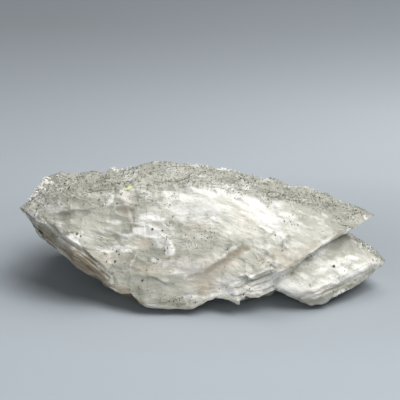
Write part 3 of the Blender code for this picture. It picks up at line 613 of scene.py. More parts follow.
# Clear patches: grey glassy zones, and partly painted shade on the down-facing band under the left edge and
# along the bottom edge.
CLEAR_AND_PAINTED_SHADE_PATCHES = [
    (-30.8, -4.7, 4.9, 2.1, 20, 0.9), (13.6, 17.1, 3.3, 3.3, 0, 0.8), (-27.1, 13, 4.9, 3.3, 0, 1),
    (-28.3, 24.9, 2.5, 4.5, 0, 0.9), (-33.3, 18.7, 2.5, 2.5, 0, 0.5), (-36.1, 6.4, 3.7, 2.9, 0, 0.5),
    (22.2, -3, 2.9, 1.6, 0, 0.9), (-11.9, 14.6, 2.9, 2.5, 0, 0.6), (36.6, 10.5, 3.7, 2.1, 25, 0.6),
    (30, 14.6, 2.9, 2.1, 0, 0.6), (62.1, 17.5, 3.3, 2.5, 0, 1), (16.1, 37.6, 3.7, 2.1, 0, 0.6),
    (27.2, 34.4, 2.5, 2.5, 0, 0.4), (-42.3, 15.5, 4.1, 4.1, 0, 1), (-46.4, 10.5, 4.1, 2.5, -42, 0.8),
    (13.2, 8.9, 3.7, 2.1, 30, 0.2), (-44.4, 13.4, 5.3, 3.7, -42, 0.95), (35.8, 22.8, 3.3, 2.1, 0, 0.4),
    (-65.3, 22, 5.3, 2.5, -45, 1), (-50.5, 11.3, 7.4, 2.9, -42, 0.9), (-41.9, 4.8, 4.1, 2.9, -42, 0.7),
    (-11.1, -5.1, 8.2, 2.5, 0, 0.8), (-15.6, 2.7, 7.4, 4.1, 0, 0.55), (-19.7, 4.8, 9, 3.3, 0, 0.5),
    (-21.7, 12.2, 5.8, 3.3, 0, 0.75), (56.3, 25.3, 8.2, 2.9, -22, 0.7), (44, 28.6, 5.8, 2.9, -20, 0.6),
    (-52.6, 25.7, 4.1, 3.7, 0, 0.55), (-18.5, 6.8, 5.3, 2.5, 0, 0.55), (-33.3, 3.9, 7, 2.1, 0, 0.4),
    (12, 18.7, 2.5, 3.3, 0, 0.4), (18.5, 10.5, 2.9, 3.3, 0, 0.4), (1.7, 14.6, 4.1, 2.5, 0, 0.4),
    (67.4, 29, 2.5, 2.1, 0, 0.5), (43.2, 22, 5.8, 2.9, 0, 0.3), (62.5, 18.3, 3.3, 2.5, 0, 0.9),
    (59.2, 10.5, 4.1, 2.1, 0, 0.5), (48.1, 1.9, 3.3, 2.1, 0, 0.5), (53.1, 36.8, 3.7, 2.1, -15, 0.4),
    (-39.4, 27.8, 9.9, 4.1, -3, 0.55), (-50.5, 36, 10.7, 3.7, 5, 0.4), (36.2, 21.2, 3.7, 2.9, 0, 0.35),
    (61.3, 17.5, 5.8, 3.3, -20, 0.8), (50.2, 10.5, 4.9, 2.9, 25, 0.5), (41.5, 4.8, 3.7, 2.9, -40, 0.45),
    (66.6, 30.2, 3.3, 2.1, -30, 0.5), (-25.9, 27, 3.7, 2.1, 0, 0.25), (-23.4, 10.5, 6.2, 4.1, 0, 0.6),
    (-44.4, 36, 8.2, 3.3, 0, 0.4), (0.4, 14.6, 4.9, 2.1, 25, 0.3), (54.7, 29.4, 8.2, 5.3, -25, 0.5),
    (-25.9, 33.5, 3.7, 2.1, 0, 0.35), (-56.7, 29, 4.9, 1.3, 6, 1), (-38.2, 21.8, 3.7, 0.7, -8, 0.6),
    (-19.7, 15.5, 3.7, 2.5, -35, 0.7), (54.3, 18.7, 3.7, 2.1, 12, 0.2), (44.8, 32.7, 7, 2.1, -18, 0.45),
    (-17.6, -0.2, 9.9, 2.5, 8, 0.3), (-47.2, 40.1, 17.3, 3.3, 12, 0.45), (-5.3, 23.3, 6.6, 2.9, 5, 0.35),
    (72.8, 12.2, 2.5, 2.9, -50, 0.7), (62.5, 0.7, 7.4, 1.6, 28, 0.45), (52.2, -1.4, 5.8, 1.2, 25, 0.4),
    (-23.4, 45, 12.3, 2.5, 4, 0.1), (-1.2, 46.3, 10.7, 2.1, -5, 0.1), (27.6, 40.5, 10.7, 1.6, -14, 0.35),
    (39.9, 37.2, 11.5, 2.1, -16, 0.4), (-28.3, -1.8, 3.7, 3.7, -30, 0.9), (-44.4, 33.9, 3.3, 4.9, 0, 0.65),
    (-61.2, 45, 3.3, 1.1, 0, 0.7), (-67, 29, 1.6, 1.8, 0, 0.7), (-56.3, 28.6, 4.5, 1.2, 6, 1),
    (-54.2, 32.3, 3.3, 1.2, 0, 0.8), (-44.4, 28.6, 2.1, 3.7, 0, 0.8), (-38.2, 33.5, 2.1, 1.6, 0, 0.7),
    (-32.8, 31.1, 3.3, 1.6, 0, 0.7), (-47.2, 16.3, 5.3, 0.9, -42, 0.9), (-29.6, 23.3, 2.9, 1.5, 15, 0.9),
    (0.4, -1, 2.5, 2.9, 20, 0.9), (44, 6.8, 3.3, 2.5, -30, 0.35), (37, 9.7, 4.5, 1, 35, 1),
    (-58.7, 29.8, 3.7, 1.2, 0, 0.6), (-48.9, 16.7, 4.5, 0.9, -42, 0.9), (67.4, 30.7, 2.5, 1.2, 0, 0.6),
    # Painted shadow: (-26.3, -5.9) darkens the bottom edge where the shadow on the floor meets it.
    (0.9, -4.3, 2.5, 1.2, 0, 0.7), (-26.3, -5.9, 2.1, 1.6, -40, 1), (-1.4, 41.3, 2.1, 1.2, 0, 0.9),
    (-54.6, 22.8, 1.6, 1.2, 0, 0.8), (-48.9, 10.5, 7.4, 2.1, -42, 0.9), (14.4, 39.3, 2.5, 1.6, 0, 0.8),
    (34.6, 19.1, 1.6, 3.3, -30, 0.8), (49.4, 20.4, 2.5, 1.2, 20, 0.8), (-48.5, 6.8, 5.3, 2.1, -42, 1),
    (-40.2, 1.5, 3.7, 2.1, -35, 0.4), (-20.9, 19.1, 4.1, 2.9, -30, 0.6), (4.6, 8.1, 7.4, 3.3, 32, 0.3),
    (44.8, -5.1, 5.8, 1.6, 8, 0.8), (55.5, -2.2, 4.9, 1.6, 27, 0.6), (57.2, 17.5, 3.3, 2.1, 20, 0.6),
    (52.2, 12.6, 2.9, 1.2, 20, 0.7), (-23.8, 10.1, 2.9, 2.9, 0, 1), (-15.6, -3, 3.7, 2.5, 0, 0.6),
    (17.3, 37.6, 3.3, 2.1, 0, 1), (35.8, 40.9, 3.7, 2.1, -15, 0.7), (53.1, 32.7, 3.7, 2.1, -20, 0.85),
    (58.4, 23.7, 2.9, 2.1, 0, 1), (69.1, 4.8, 2.5, 2.1, 0, 0.9), (26.7, 22.4, 4.1, 2.1, -15, 0.6),
    (21, -3, 2.9, 2.1, 0, 1), (-33.7, -1, 4.9, 1.6, -25, 0.4), (17.3, 42.2, 7.4, 1.2, -14, 0.4),
    (42.4, 13, 2.5, 2.1, 30, 0.4), (-30.8, 10.5, 3.3, 2.5, 0, 0.35),
]
WARM_PATCHES = [
    (7, 1.5, 4.9, 2.9, 20, 0.5), (-42.3, 1.1, 4.1, 2.1, -30, 0.6), (-50.5, 6.4, 6.6, 2.1, -40, 0.5),
    (-54.6, 10.5, 4.1, 2.5, -40, 0.6), (19.3, -3.5, 6.6, 1.2, 0, 0.4), (58.4, -3.9, 7.4, 1.6, 20, 0.4),
    (-63.7, 19.6, 4.9, 3.7, -40, 0.5), (-44.4, 6.4, 4.9, 3.7, -40, 0.6), (-34.1, -2.2, 5.8, 2.5, -25, 0.8),
    (-11.1, 10.5, 4.9, 3.3, 0, 0.5), (-4.5, 7.2, 4.9, 3.3, 0, 0.5), (1.7, 0.7, 4.5, 3.3, 0, 1),
    (-6.1, -8, 6.6, 1.6, 0, 0.5), (41.5, -4.3, 4.5, 2.1, 0, 0.8), (34.6, 8.5, 2.5, 2.1, 0, 0.8),
    (-38.2, 22.4, 4.1, 2.5, 0, 0.3), (-31.2, 38.1, 3.3, 2.1, 0, 0.4), (68.7, 10.1, 2.5, 2.1, 0, 0.5),
    (0.9, 6, 8.2, 3.3, 30, 0.9), (10.3, 10.9, 6.6, 2.5, 38, 0.85), (-24.6, 18.3, 3.3, 2.1, 0, 0.7),
    (-22.6, 7.6, 5.3, 2.1, 0, 0.65), (-3.3, 24.1, 5.8, 3.3, 0, 0.3), (28.4, 12.2, 7.4, 2.9, 20, 0.5),
    (39.1, 14.6, 5.8, 2.1, 28, 0.4), (17.3, 26.1, 5.3, 4.1, 0, 0.35), (-40.2, 11.3, 4.1, 2.1, -35, 0.5),
    (-47.2, 9.7, 7.4, 3.7, -42, 0.6), (-41.5, 3.1, 4.9, 2.5, -42, 0.95), (-62.9, 20.4, 5.8, 2.9, -45, 0.5),
    (-54.6, 13.8, 6.6, 2.9, -42, 0.6), (43.2, -2.2, 7.4, 2.5, 0, 0.35), (-11.5, -5.9, 8.2, 2.5, 0, 0.35),
    (15.2, 31.1, 4.1, 2.9, 0, 0.3), (-30.8, 10.5, 3.7, 1.6, 0, 0.5), (9.1, 3.1, 4.9, 1.6, 25, 0.5),
    (35.8, 10.1, 3.7, 1.2, 30, 0.5), (-9.4, -1, 4.1, 1.6, 10, 0.25),
]
# Rust patches: brown stains, and partly painted shade on the down-facing band under the left edge.
RUST_AND_PAINTED_SHADE_PATCHES = [
    (-43.1, 5.6, 4.1, 2.1, -42, 0.8), (-51.3, 12.2, 5.8, 2.9, -42, 0.95), (-48.1, 9.3, 5.3, 2.9, -42, 0.95),
    (-34.1, -2.6, 4.9, 1.6, -20, 0.35), (-62, 19.6, 5.8, 2.1, -42, 0.35), (-44.8, 6.4, 5.8, 2.5, -42, 0.6),
    (-32.4, 31.9, 3.3, 1.4, 5, 0.55), (37, 6.8, 0.8, 1.5, -10, 0.7), (-37.4, -3, 5.8, 1.6, -25, 0.35),
    (36.2, 8.7, 1.4, 0.7, 30, 1), (57.2, 22.4, 3.7, 1.2, 26, 0.5), (1.3, -0.6, 2.9, 0.8, 15, 0.3),
    (-38.2, 22, 2.5, 0.5, -5, 0.35), (-67, 23.7, 1, 1, 0, 0.9), (-23, 22.4, 2.5, 1.2, 0, 0.25),
    # Painted shadow: (-26.3, -5.9) darkens the bottom edge where the shadow on the floor meets it.
    (45.2, 16.3, 1.6, 2.5, -20, 0.3), (-26.3, -5.9, 2.1, 1.4, -40, 0.5), (42, 10.5, 2.1, 1.2, 0, 0.25),
    (16.1, 14.6, 2.9, 1.6, 25, 0.25), (10.3, 12.2, 4.9, 1.2, 38, 0.25), (1.3, 6.8, 4.9, 1.1, 28, 0.25),
]
# Partly painted shade: the lines along the fold, the brow ledge and the crevices darken them as shade; the
# lines across the left band follow its brown layers.
RUST_AND_PAINTED_SHADE_LINES = [
    ([(-6.1, 4.1), (-0.4, 6.4), (5.4, 9.5), (11.1, 13.4), (15.2, 16.1), (18.9, 16.9), (21.4, 15.9)],
     0.6, 0.5),
    ([(-67.4, 24.5), (-60.8, 19.1), (-54.6, 14.6), (-48.5, 9.7), (-43.1, 4.8)], 0.4, 0.5),
    ([(-64.5, 18.3), (-57.9, 13.8), (-52.2, 9.7), (-46.4, 4.8)], 0.4, 0.4),
    ([(-62, 25.3), (-57.9, 20.4), (-52.2, 15.5), (-47.2, 10.5), (-42.7, 5.6)], 0.4, 0.45),
    ([(13.6, -1.4), (16.9, 0.7), (21, 3.1), (25.9, 6)], 0.4, 0.45),
    ([(19.3, -1), (23.5, 0.2), (28.4, 1.5)], 0.3, 0.4), ([(33.7, -1.4), (39.9, -5.1)], 0.4, 0.3),
    ([(-21.7, 43.4), (-16.4, 43.6), (-11.1, 43)], 0.4, 0.4),
    ([(-8.6, 42), (-4.5, 41.3), (-0.8, 41.1)], 0.4, 0.35),
    ([(-60.4, 42.6), (-54.6, 42.6), (-46.4, 41.5)], 0.3, 0.25),
    ([(-30, 21.2), (-28.7, 25.3), (-27.9, 29.4)], 0.4, 0.35),
]
DUST_PATCHES = [
    (61.3, 20.4, 4.5, 1.2, -50, 0.8), (68.3, 15.9, 5.3, 1.6, -38, 0.9), (72.8, 10.5, 2.5, 2.1, 0, 0.4),
    (56.3, 6.4, 9, 2.9, 27, 0.25), (60.4, -1, 8.2, 2.1, 28, 0.4), (44, 12.2, 2.5, 3.3, -30, 0.35),
    (-11.1, -5.1, 8.2, 2.5, 0, 0.6), (-20.9, 10.5, 4.1, 2.5, 0, 0.3), (-52.6, 37.2, 16.4, 3.7, 14, 0.5),
    (-21.7, 36.4, 12.3, 2.5, 0, 0.45), (36.6, 37.2, 18.9, 2.9, -16, 0.8), (55.5, 30.7, 7.4, 3.7, -25, 0.85),
    (63.3, 30.7, 4.1, 2.5, -30, 0.7), (-2.8, 17.9, 10.3, 2.9, -8, 0.5), (4.6, 22.8, 5.3, 2.9, -5, 0.35),
    (-15.6, 18.7, 3.7, 4.9, -20, 0.4), (72.4, 13, 2.9, 3.3, -50, 0.8), (58.8, 21.2, 3.7, 1.6, 0, 0.6),
    (-23.4, -1.4, 4.9, 2.1, 0, 0.45), (60.4, -0.2, 8.2, 2.1, 28, 0.5), (-44.4, 33.9, 3.7, 4.9, 0, 0.5),
    (-29.1, 31.9, 4.9, 4.1, 0, 0.45), (-9.4, 27, 5.3, 2.5, 0, 0.3), (-62.9, 22.8, 6.6, 3.3, -45, 0.5),
    (-32, 33.9, 6.2, 3.3, 0, 0.5), (-39.8, 20.4, 5.8, 1.6, 0, 0.35), (-10.2, 13.4, 4.9, 2.1, 0, 0.35),
    (24.3, 10.5, 4.1, 1.6, 0, 0.3), (35.8, 27, 3.3, 2.5, 0, 0.25), (-34.1, 10.5, 5.8, 4.1, 0, 0.25),
]
CALM_PATCHES = [
    (-52.6, 33.9, 9.9, 4.1, 8, 0.6), (-21.7, 10.5, 9, 4.1, 0, 0.5), (0.9, 8.1, 7.4, 4.1, 25, 0.7),
    (58.4, 16.3, 7.4, 3.7, 0, 0.35), (24.3, 1.5, 8.2, 3.7, 10, 0.5), (-42.3, 5.2, 5.8, 2.9, -42, 0.5),
    (-39, 27.4, 10.7, 5.8, -3, 1), (55.5, 17.1, 5.3, 2.9, 10, 1), (-7.4, 10.1, 4.9, 3.3, 0, 0.8),
    (5, 7.2, 7.4, 2.9, 35, 1), (-22.6, 7.2, 4.9, 2.5, 0, 0.8), (17.3, 15.5, 4.1, 3.3, 0, 0.7),
    (0.9, 36, 9.9, 3.3, 0, 0.4), (23.5, 31.9, 6.6, 4.9, 0, 0.3), (-21.7, -1, 9.9, 3.3, 5, 0.7),
]
# Leaves beside a line: points, reach, spacing, height, darkness of the shade painted into the gaps.
LAMINATIONS = [
    ([(-72.7, 31.1), (-64.9, 24.5), (-58.7, 19.4), (-51.3, 13.8), (-44.4, 8.5), (-39.0, 3.5)],
     3.3, 0.8, 0.42, 0.75),
    ([(-71.1, 26.1), (-64.9, 19.1), (-56.7, 13.8), (-48.5, 7.2), (-42.3, 2.3)], 2.5, 0.7, 0.4, 0.8),
    ([(41.1, -4.7), (48.9, -1.8), (58.8, 2.3), (70.3, 8.5)], 3.3, 0.8, 0.32, 0.35),
    ([(4.6, -4.7), (12.0, -1.4), (19.3, 2.7), (27.6, 6.8)], 4.5, 1, 0.32, 0.25),
    ([(19.3, -3.9), (25.1, -0.6), (31.3, 2.7)], 3.3, 0.9, 0.3, 0.4),
]


def patched(places, patches, lines=()):
    """Strength of the patches and lines at each place: the strongest one, soft at its border."""
    strength = np.zeros(len(places))
    for a, b, right, up, turn, most in patches:
        u, v = turned(places, (a, b), turn)
        far = np.hypot(u / right, v / up)
        strength = np.maximum(strength, most * np.clip(1.6 - far, 0, 1) ** 1.2)
    for line, half_width, most in lines:
        distance, _ = along(places, line)
        strength = np.maximum(strength, most * np.clip(1.7 - abs(distance) / half_width, 0, 1))
    return strength


# How far the borders of the patches and the gaps between the leaves wander, in millimetres.
BORDER_WANDER = 0.8
LEAF_WANDER = 0.25


def colour_stone(mesh):
    """Puts the masks that the material reads on the mesh, and the coordinates drawn along the grain."""
    points = points_of(mesh) - SHIFT
    strip = get_attribute(mesh, "strip")
    normals = vertex_normals(mesh)
    wander = np.stack([soft_noise(points, 3.4, 401 + i) + 0.6 * soft_noise(points, 1.3, 405 + i)
                       for i in range(2)], axis=1)
    front = np.clip((0.45 - normals[:, 1]) / 0.2, 0, 1)
    places = seen(points) + BORDER_WANDER * wander
    on_plate = strip > NO_STRIP / 2
    top = on_plate * np.maximum(plateau(strip, 0, 0.95, 0.15), plateau(strip, STRIPS - 0.3, STRIPS + 1, 0.4))
    down = np.clip(-3 * normals[:, 2] - 1.5, 0, 1)
    under = np.where(on_plate, plateau(strip, 4.6, 7.6, 0.5), down)
    behind = (1 - front) * (1 - under)
    scattered = np.clip(terraces(points, 11.0, 2.0, 411) * 1.4 - 0.05, 0, 1) * behind * (1 - top)
    cloudy = np.clip(0.5 + soft_noise(points, 9.0, 421) + 0.5 * soft_noise(points, 3.0, 422), 0, 1)
    masks = {
        "white": np.maximum(front * patched(places, WHITE_AND_PAINTED_LIGHT_PATCHES, WHITE_AND_PAINTED_LIGHT_LINES), 0.9 * scattered),
        "clear": np.maximum(front * patched(places, CLEAR_AND_PAINTED_SHADE_PATCHES), 0.5 * behind * cloudy),
        # Partly painted shade: the underside (under) gets cream and rust, and the rust makes it darker under
        # the stone.
        "warm": np.maximum(front * patched(places, WARM_PATCHES), 0.6 * under * (1 - cloudy)),
        "rust": np.maximum(front * patched(places, RUST_AND_PAINTED_SHADE_PATCHES, RUST_AND_PAINTED_SHADE_LINES), 0.35 * under * cloudy),
        # Painted shade in the gaps between the leaves, darker where a leaf sinks.
        "strata_and_gap_shade": front * laminated(seen(points) + LEAF_WANDER * wander)[1],
        "dust": np.maximum(front * patched(places, DUST_PATCHES), 0.8 * top + 0.25 * behind),
    }
    for name, strength in masks.items():
        set_attribute(mesh, name, strength)
    layer = mesh.attributes.new("lay", "FLOAT_VECTOR", "POINT")
    layer.data.foreach_set("vector", (laid(points) * MM).astype(np.float32).ravel())


def put(tree, kind, **settings):
    """A node of this kind, with settings on the node itself."""
    made = tree.nodes.new(kind)
    for name, value in settings.items():
        setattr(made, name, value)
    return made


def fill(node, values):
    """Sets the node's inputs of these names."""
    for name, value in values.items():
        node.inputs[name].default_value = value


def noise(tree, coordinates, scale, detail, rough=0.6):
    """Noise on the given coordinates."""
    texture = put(tree, "ShaderNodeTexNoise")
    fill(texture, {"Scale": scale, "Detail": detail, "Roughness": rough})
    tree.links.new(coordinates, texture.inputs["Vector"])
    return texture.outputs["Fac"]


def ranged(tree, value, low, high, to_low=0.0, to_high=1.0):
    """value from low..high moved to to_low..to_high and held inside it."""
    made = put(tree, "ShaderNodeMapRange")
    fill(made, {"From Min": low, "From Max": high, "To Min": to_low, "To Max": to_high})
    tree.links.new(value, made.inputs["Value"])
    return made.outputs["Result"]


def maths(tree, operation, first, second):
    """One Math node: first is a socket, second a socket or a number."""
    made = put(tree, "ShaderNodeMath", operation=operation)
    tree.links.new(first, made.inputs[0])
    if isinstance(second, float):
        made.inputs[1].default_value = second
    else:
        tree.links.new(second, made.inputs[1])
    return made.outputs["Value"]


def times(tree, first, second):
    """first times second."""
    return maths(tree, "MULTIPLY", first, second)


def plus(tree, first, second):
    """first plus second."""
    return maths(tree, "ADD", first, second)


def mixed(tree, share, first, second):
    """The first colour with a share of the second: each is a socket or a plain colour."""
    made = put(tree, "ShaderNodeMix", data_type="RGBA", clamp_factor=True)
    tree.links.new(share, made.inputs[0])
    for colour, socket in ((first, made.inputs[6]), (second, made.inputs[7])):
        if isinstance(colour, tuple):
            socket.default_value = (*colour, 1.0)
        else:
            tree.links.new(colour, socket)
    return made.outputs[2]


def attribute(tree, name, output="Fac"):
    """What the mesh carries at each vertex under this name."""
    return put(tree, "ShaderNodeAttribute", attribute_name=name).outputs[output]


def new_material(name):
    """A material, its node tree, its surface node and the coordinates on the piece itself."""
    material = bpy.data.materials.new(name)
    material.use_nodes = True
    tree = material.node_tree
    place = put(tree, "ShaderNodeTexCoord").outputs["Object"]
    return material, tree, tree.nodes["Principled BSDF"], place


# Colours of the stone, from its grey body to the dirt between its grains. White also paints light, and
# clear, rust and strata also paint shade.
GREY = (0.425, 0.428, 0.368)
PALE = (0.62, 0.62, 0.56)
WHITE = (0.87, 0.87, 0.838)
CLEAR = (0.262, 0.266, 0.218)
CREAM = (0.60, 0.52, 0.415)
RUST = (0.24, 0.175, 0.10)
STRATA_AND_GAP_SHADE = (0.20, 0.18, 0.125)
DIRT = (0.15, 0.15, 0.115)


def barite_material():
    """Milky barite: grey glassy stone, white where it is bruised or cleaved, stained in places, with light
    and shade painted on in places.
    """
    material, tree, surface, place = new_material("milky_barite")
    lay = attribute(tree, "lay", "Vector")
    cloud = ranged(tree, noise(tree, place, 75.0, 4.0), 0.36, 0.64)
    streak = ranged(tree, noise(tree, lay, 330.0, 5.0, 0.56), 0.35, 0.65)
    mottle = ranged(tree, noise(tree, lay, 150.0, 3.0), 0.36, 0.64)
    crumb = ranged(tree, noise(tree, place, 1300.0, 3.0), 0.34, 0.66)
    speck = ranged(tree, noise(tree, place, 1900.0, 2.0), 0.57, 0.64)

    # white also carries painted light, and clear, rust and strata carry painted shade, besides the stone's
    # own colours.
    white = attribute(tree, "white")
    dust = times(tree, attribute(tree, "dust"), ranged(tree, white, 0.5, 1, 1, 0.3))
    clear = times(tree, attribute(tree, "clear"), ranged(tree, mottle, 0, 1, 1.0, 0.7))
    rust = times(tree, attribute(tree, "rust"), ranged(tree, streak, 0, 1, 1.0, 0.55))
    white = plus(tree, white, ranged(tree, streak, 0, 1, -0.34, 0.42))
    white = plus(tree, white, ranged(tree, crumb, 0, 1, -0.14, 0.14))
    white = maths(tree, "SUBTRACT", white, times(tree, clear, 0.45))
    white = ranged(tree, white, 0.12, 0.95)
    body = mixed(tree, times(tree, plus(tree, cloud, mottle), 0.5), GREY, PALE)
    for share, colour in (
        (clear, CLEAR), (white, WHITE), (times(tree, attribute(tree, "warm"), 0.62), CREAM),
        (rust, RUST), (attribute(tree, "strata_and_gap_shade"), STRATA_AND_GAP_SHADE),
        (times(tree, dust, ranged(tree, crumb, 0, 1, 0.06, 0.52)), CLEAR),
        (times(tree, speck, ranged(tree, dust, 0, 1, 0.06, 0.8)), DIRT),
    ):
        body = mixed(tree, share, body, colour)
    tree.links.new(body, surface.inputs["Base Color"])

    gloss = plus(tree, ranged(tree, white, 0, 1, 0.34, 0.54), ranged(tree, crumb, 0, 1, 0.0, 0.12))
    tree.links.new(gloss, surface.inputs["Roughness"])
    fill(surface, {"IOR": 1.6, "Subsurface Weight": 0.12, "Subsurface Radius": (1.0, 0.95, 0.85),
                   "Subsurface Scale": 0.0015})
    bump = put(tree, "ShaderNodeBump")
    fill(bump, {"Strength": 0.45, "Distance": 0.0003})
    grit = times(tree, crumb, ranged(tree, dust, 0, 1, 0.25, 0.9))
    tree.links.new(plus(tree, grit, streak), bump.inputs["Height"])
    tree.links.new(bump.outputs["Normal"], surface.inputs["Normal"])
    return material


def flecked(name, scale, detail, low, high, first, second, rough, metallic=0.0):
    """Two colours mixed by fine noise. rough is one number, or two that go with the colours."""
    material, tree, surface, place = new_material(name)
    share = ranged(tree, noise(tree, place, scale, detail), low, high)
    tree.links.new(mixed(tree, share, first, second), surface.inputs["Base Color"])
    surface.inputs["Metallic"].default_value = metallic
    if isinstance(rough, tuple):
        tree.links.new(ranged(tree, share, 0, 1, *rough), surface.inputs["Roughness"])
    else:
        surface.inputs["Roughness"].default_value = rough
    return material


def pyrite_material():
    """Tarnished pyrite: dark brassy metal."""
    return flecked("pyrite", 400.0, 2.0, 0.35, 0.65, (0.13, 0.128, 0.11), (0.24, 0.23, 0.175), 0.38, 0.8)


def sulphur_material():
    """The yellow-green grain: a waxy crystal, paler in places."""
    return flecked("yellow_grain", 900.0, 2.0, 0.35, 0.65, (0.70, 0.74, 0.22), (0.86, 0.88, 0.58), 0.4)


def druse_material():
    """The crust's tablets: pale grey to white, mixed by fine noise."""
    return flecked("barite_crust", 800.0, 2.0, 0.38, 0.66, (0.343, 0.352, 0.318), (0.553, 0.565, 0.552),
                   (0.5, 0.3))


def blade_material():
    """Clean white barite with a bright cleavage gloss."""
    return flecked("white_barite", 500.0, 3.0, 0.4, 0.65, (0.92, 0.92, 0.9), (0.66, 0.66, 0.62), 0.35)


CUBE = np.array([(x, y, z) for x in (-1, 1) for y in (-1, 1) for z in (-1, 1)], float) / 2
CUBE_FACES = np.array([(0, 1, 3, 2), (4, 6, 7, 5), (0, 4, 5, 1), (2, 3, 7, 6), (0, 2, 6, 4), (1, 5, 7, 3)])
# A six-sided tablet with bevelled rims: three rings of six corners, and two quads over each end.
RING = np.stack([np.cos(np.pi / 3 * np.arange(6)), 0.8 * np.sin(np.pi / 3 * np.arange(6))], axis=1)
TABLET = np.vstack([np.c_[RING * size, np.full(6, height)]
                    for size, height in ((0.38, -0.5), (0.5, 0.0), (0.38, 0.5))])
ROUND = [(i + k, (i + 1) % 6 + k, (i + 1) % 6 + k + 6, i + k + 6) for k in (0, 6) for i in range(6)]
TABLET_FACES = np.array(ROUND + [(3, 2, 1, 0), (5, 4, 3, 0), (12, 13, 14, 15), (12, 15, 16, 17)])


def turns(count, rng):
    """Random rotation matrices, from random unit quaternions."""
    q = rng.normal(size=(count, 4))
    w, x, y, z = (q / np.linalg.norm(q, axis=1, keepdims=True)).T
    return np.stack([
        np.stack([1 - 2 * (y * y + z * z), 2 * (x * y - z * w), 2 * (x * z + y * w)], axis=1),
        np.stack([2 * (x * y + z * w), 1 - 2 * (x * x + z * z), 2 * (y * z - x * w)], axis=1),
        np.stack([2 * (x * z - y * w), 2 * (y * z + x * w), 1 - 2 * (x * x + y * y)], axis=1),
    ], axis=1)


def crystals(name, shape, faces, centres, sides, rng):
    """One mesh of many crystals: the shape scaled by its sides, turned at random, set at its centre."""
    corners = shape[None] * sides[:, None, :]
    corners = np.einsum("nij,nkj->nki", turns(len(centres), rng), corners) + centres[:, None, :]
    faces = (faces[None] + len(shape) * np.arange(len(centres))[:, None, None]).reshape(-1, 4)
    return mesh_object(name, corners.reshape(-1, 3), faces.tolist())


class Skin:
    """The stone's surface as places to set crystals on."""

    def __init__(self, stone):
        self.points, self.normals = points_of(stone.data), vertex_normals(stone.data)
        self.own = self.points - SHIFT
        self.places = seen(self.own)
        self.toward = self.normals[:, 1] < 0.2  # the half that faces the front
        self.dust = get_attribute(stone.data, "dust")
        polygons, loops = stone.data.polygons, stone.data.loops
        sizes = read(polygons, "loop_total", kind=np.int32)
        self.areas = np.zeros(len(self.points))
        share = np.repeat(read(polygons, "area") / sizes, sizes)
        np.add.at(self.areas, read(loops, "vertex_index", kind=np.int32), share)

    def field(self, centre, halves, turn):
        """How near each vertex is to the middle of an elliptical patch, as a bell curve."""
        u, v = turned(self.places, centre, turn)
        return np.exp(-((u / halves[0]) ** 2) - (v / halves[1]) ** 2)

    def drawn(self, rng, weight, count):
        """So many vertices, drawn at random by weight and by the area round them."""
        weight = weight * self.areas
        return rng.choice(len(weight), count, replace=False, p=weight / weight.sum())

    def nearest(self, spots):
        """The vertex in front that is nearest to each spot."""
        gaps = [np.hypot(*(self.places - spot).T) for spot in spots]
        return np.array([np.argmin(np.where(self.toward, gap, np.inf)) for gap in gaps])


BIG_GRAINS = [
    # (a, b), side in millimetres
    ((-67.0, 23.7), 1.9), ((-66.5, 23.2), 1.3), ((-51.3, 13.8), 0.8), ((-50.9, 13.5), 0.9),
    ((-36.1, 10.5), 0.8), ((-20.5, 24.1), 0.7), ((-16.8, 23.3), 0.6), ((53.9, 8.5), 0.9),
    ((-51.5, 22.0), 0.8), ((-50.3, 21.2), 0.6), ((-53.8, 22.8), 0.5), ((-35.5, 15.2), 0.6),
    ((-15.5, 15.2), 0.5), ((46.0, 15.4), 0.6), ((44.4, 13.2), 0.5), ((-12.3, 29.0), 0.6),
    ((29.5, 21.6), 0.5), ((-24.6, 3.0), 0.7),
]


GRAINS = 6500
GRAIN_SIDE, GRAIN_SPREAD = 0.22, 0.32  # the middle side in millimetres, and how much it varies
GRAIN_SIDE_LIMITS = (0.12, 0.5)
TABLETS = 3200
TABLET_SIDES = (0.35, 0.9)
TABLET_SHAPE = (1.0, 0.9, 0.35)
BLADE_SHAPE = (1.0, 0.8, 0.32)


def make_grains(skin):
    """Pyrite: cubes half sunk in the skin, thick where it is dusty and singly elsewhere."""
    rng = np.random.default_rng(715)
    gather = 0.5 + soft_noise(skin.own, 5.0, 501) + 0.6 * soft_noise(skin.own, 1.8, 502)
    chosen = skin.drawn(rng, np.clip(gather, 0.03, None) * (skin.dust + 0.03), GRAINS)
    sides = np.clip(rng.lognormal(np.log(GRAIN_SIDE), GRAIN_SPREAD, GRAINS), *GRAIN_SIDE_LIMITS)
    chosen = np.concatenate([chosen, skin.nearest([place for place, _ in BIG_GRAINS])])
    sides = np.concatenate([sides, [side for _, side in BIG_GRAINS]])
    shape = sides[:, None] * rng.uniform(0.75, 1.2, (len(chosen), 3))
    centres = skin.points[chosen] + skin.normals[chosen] * 0.1 * sides[:, None]
    return crystals("pyrite_grains", CUBE, CUBE_FACES, centres, shape, rng)


def make_druse(skin):
    """The crust: thousands of tiny barite tablets standing out of the dusty skin."""
    rng = np.random.default_rng(57)
    gather = np.clip(0.4 + soft_noise(skin.own, 4.0, 511), 0.02, None)
    chosen = skin.drawn(rng, gather * np.clip(skin.dust - 0.1, 0, None), TABLETS)
    sides = rng.uniform(*TABLET_SIDES, (TABLETS, 3)) * TABLET_SHAPE
    centres = skin.points[chosen] + skin.normals[chosen] * 0.05
    return crystals("barite_druse", TABLET, TABLET_FACES, centres, sides, rng)


YELLOW_SPOTS = [(-31.4, 40.5), (-30.8, 40.3), (-30.2, 40.6), (-30.9, 41.0), (-29.8, 41.1),
                (-31.9, 40.3), (-30.4, 41.3)]


def make_yellow_grain(skin):
    """A small yellow-green crystal cluster under the brow."""
    rng = np.random.default_rng(16)
    near = skin.nearest(YELLOW_SPOTS)
    sides = rng.uniform(0.8, 1.4, (len(near), 3)) * (1.1, 0.9, 0.7)
    centres = skin.points[near] + skin.normals[near] * 0.2
    return crystals("yellow_grain", TABLET, TABLET_FACES, centres, sides, rng)


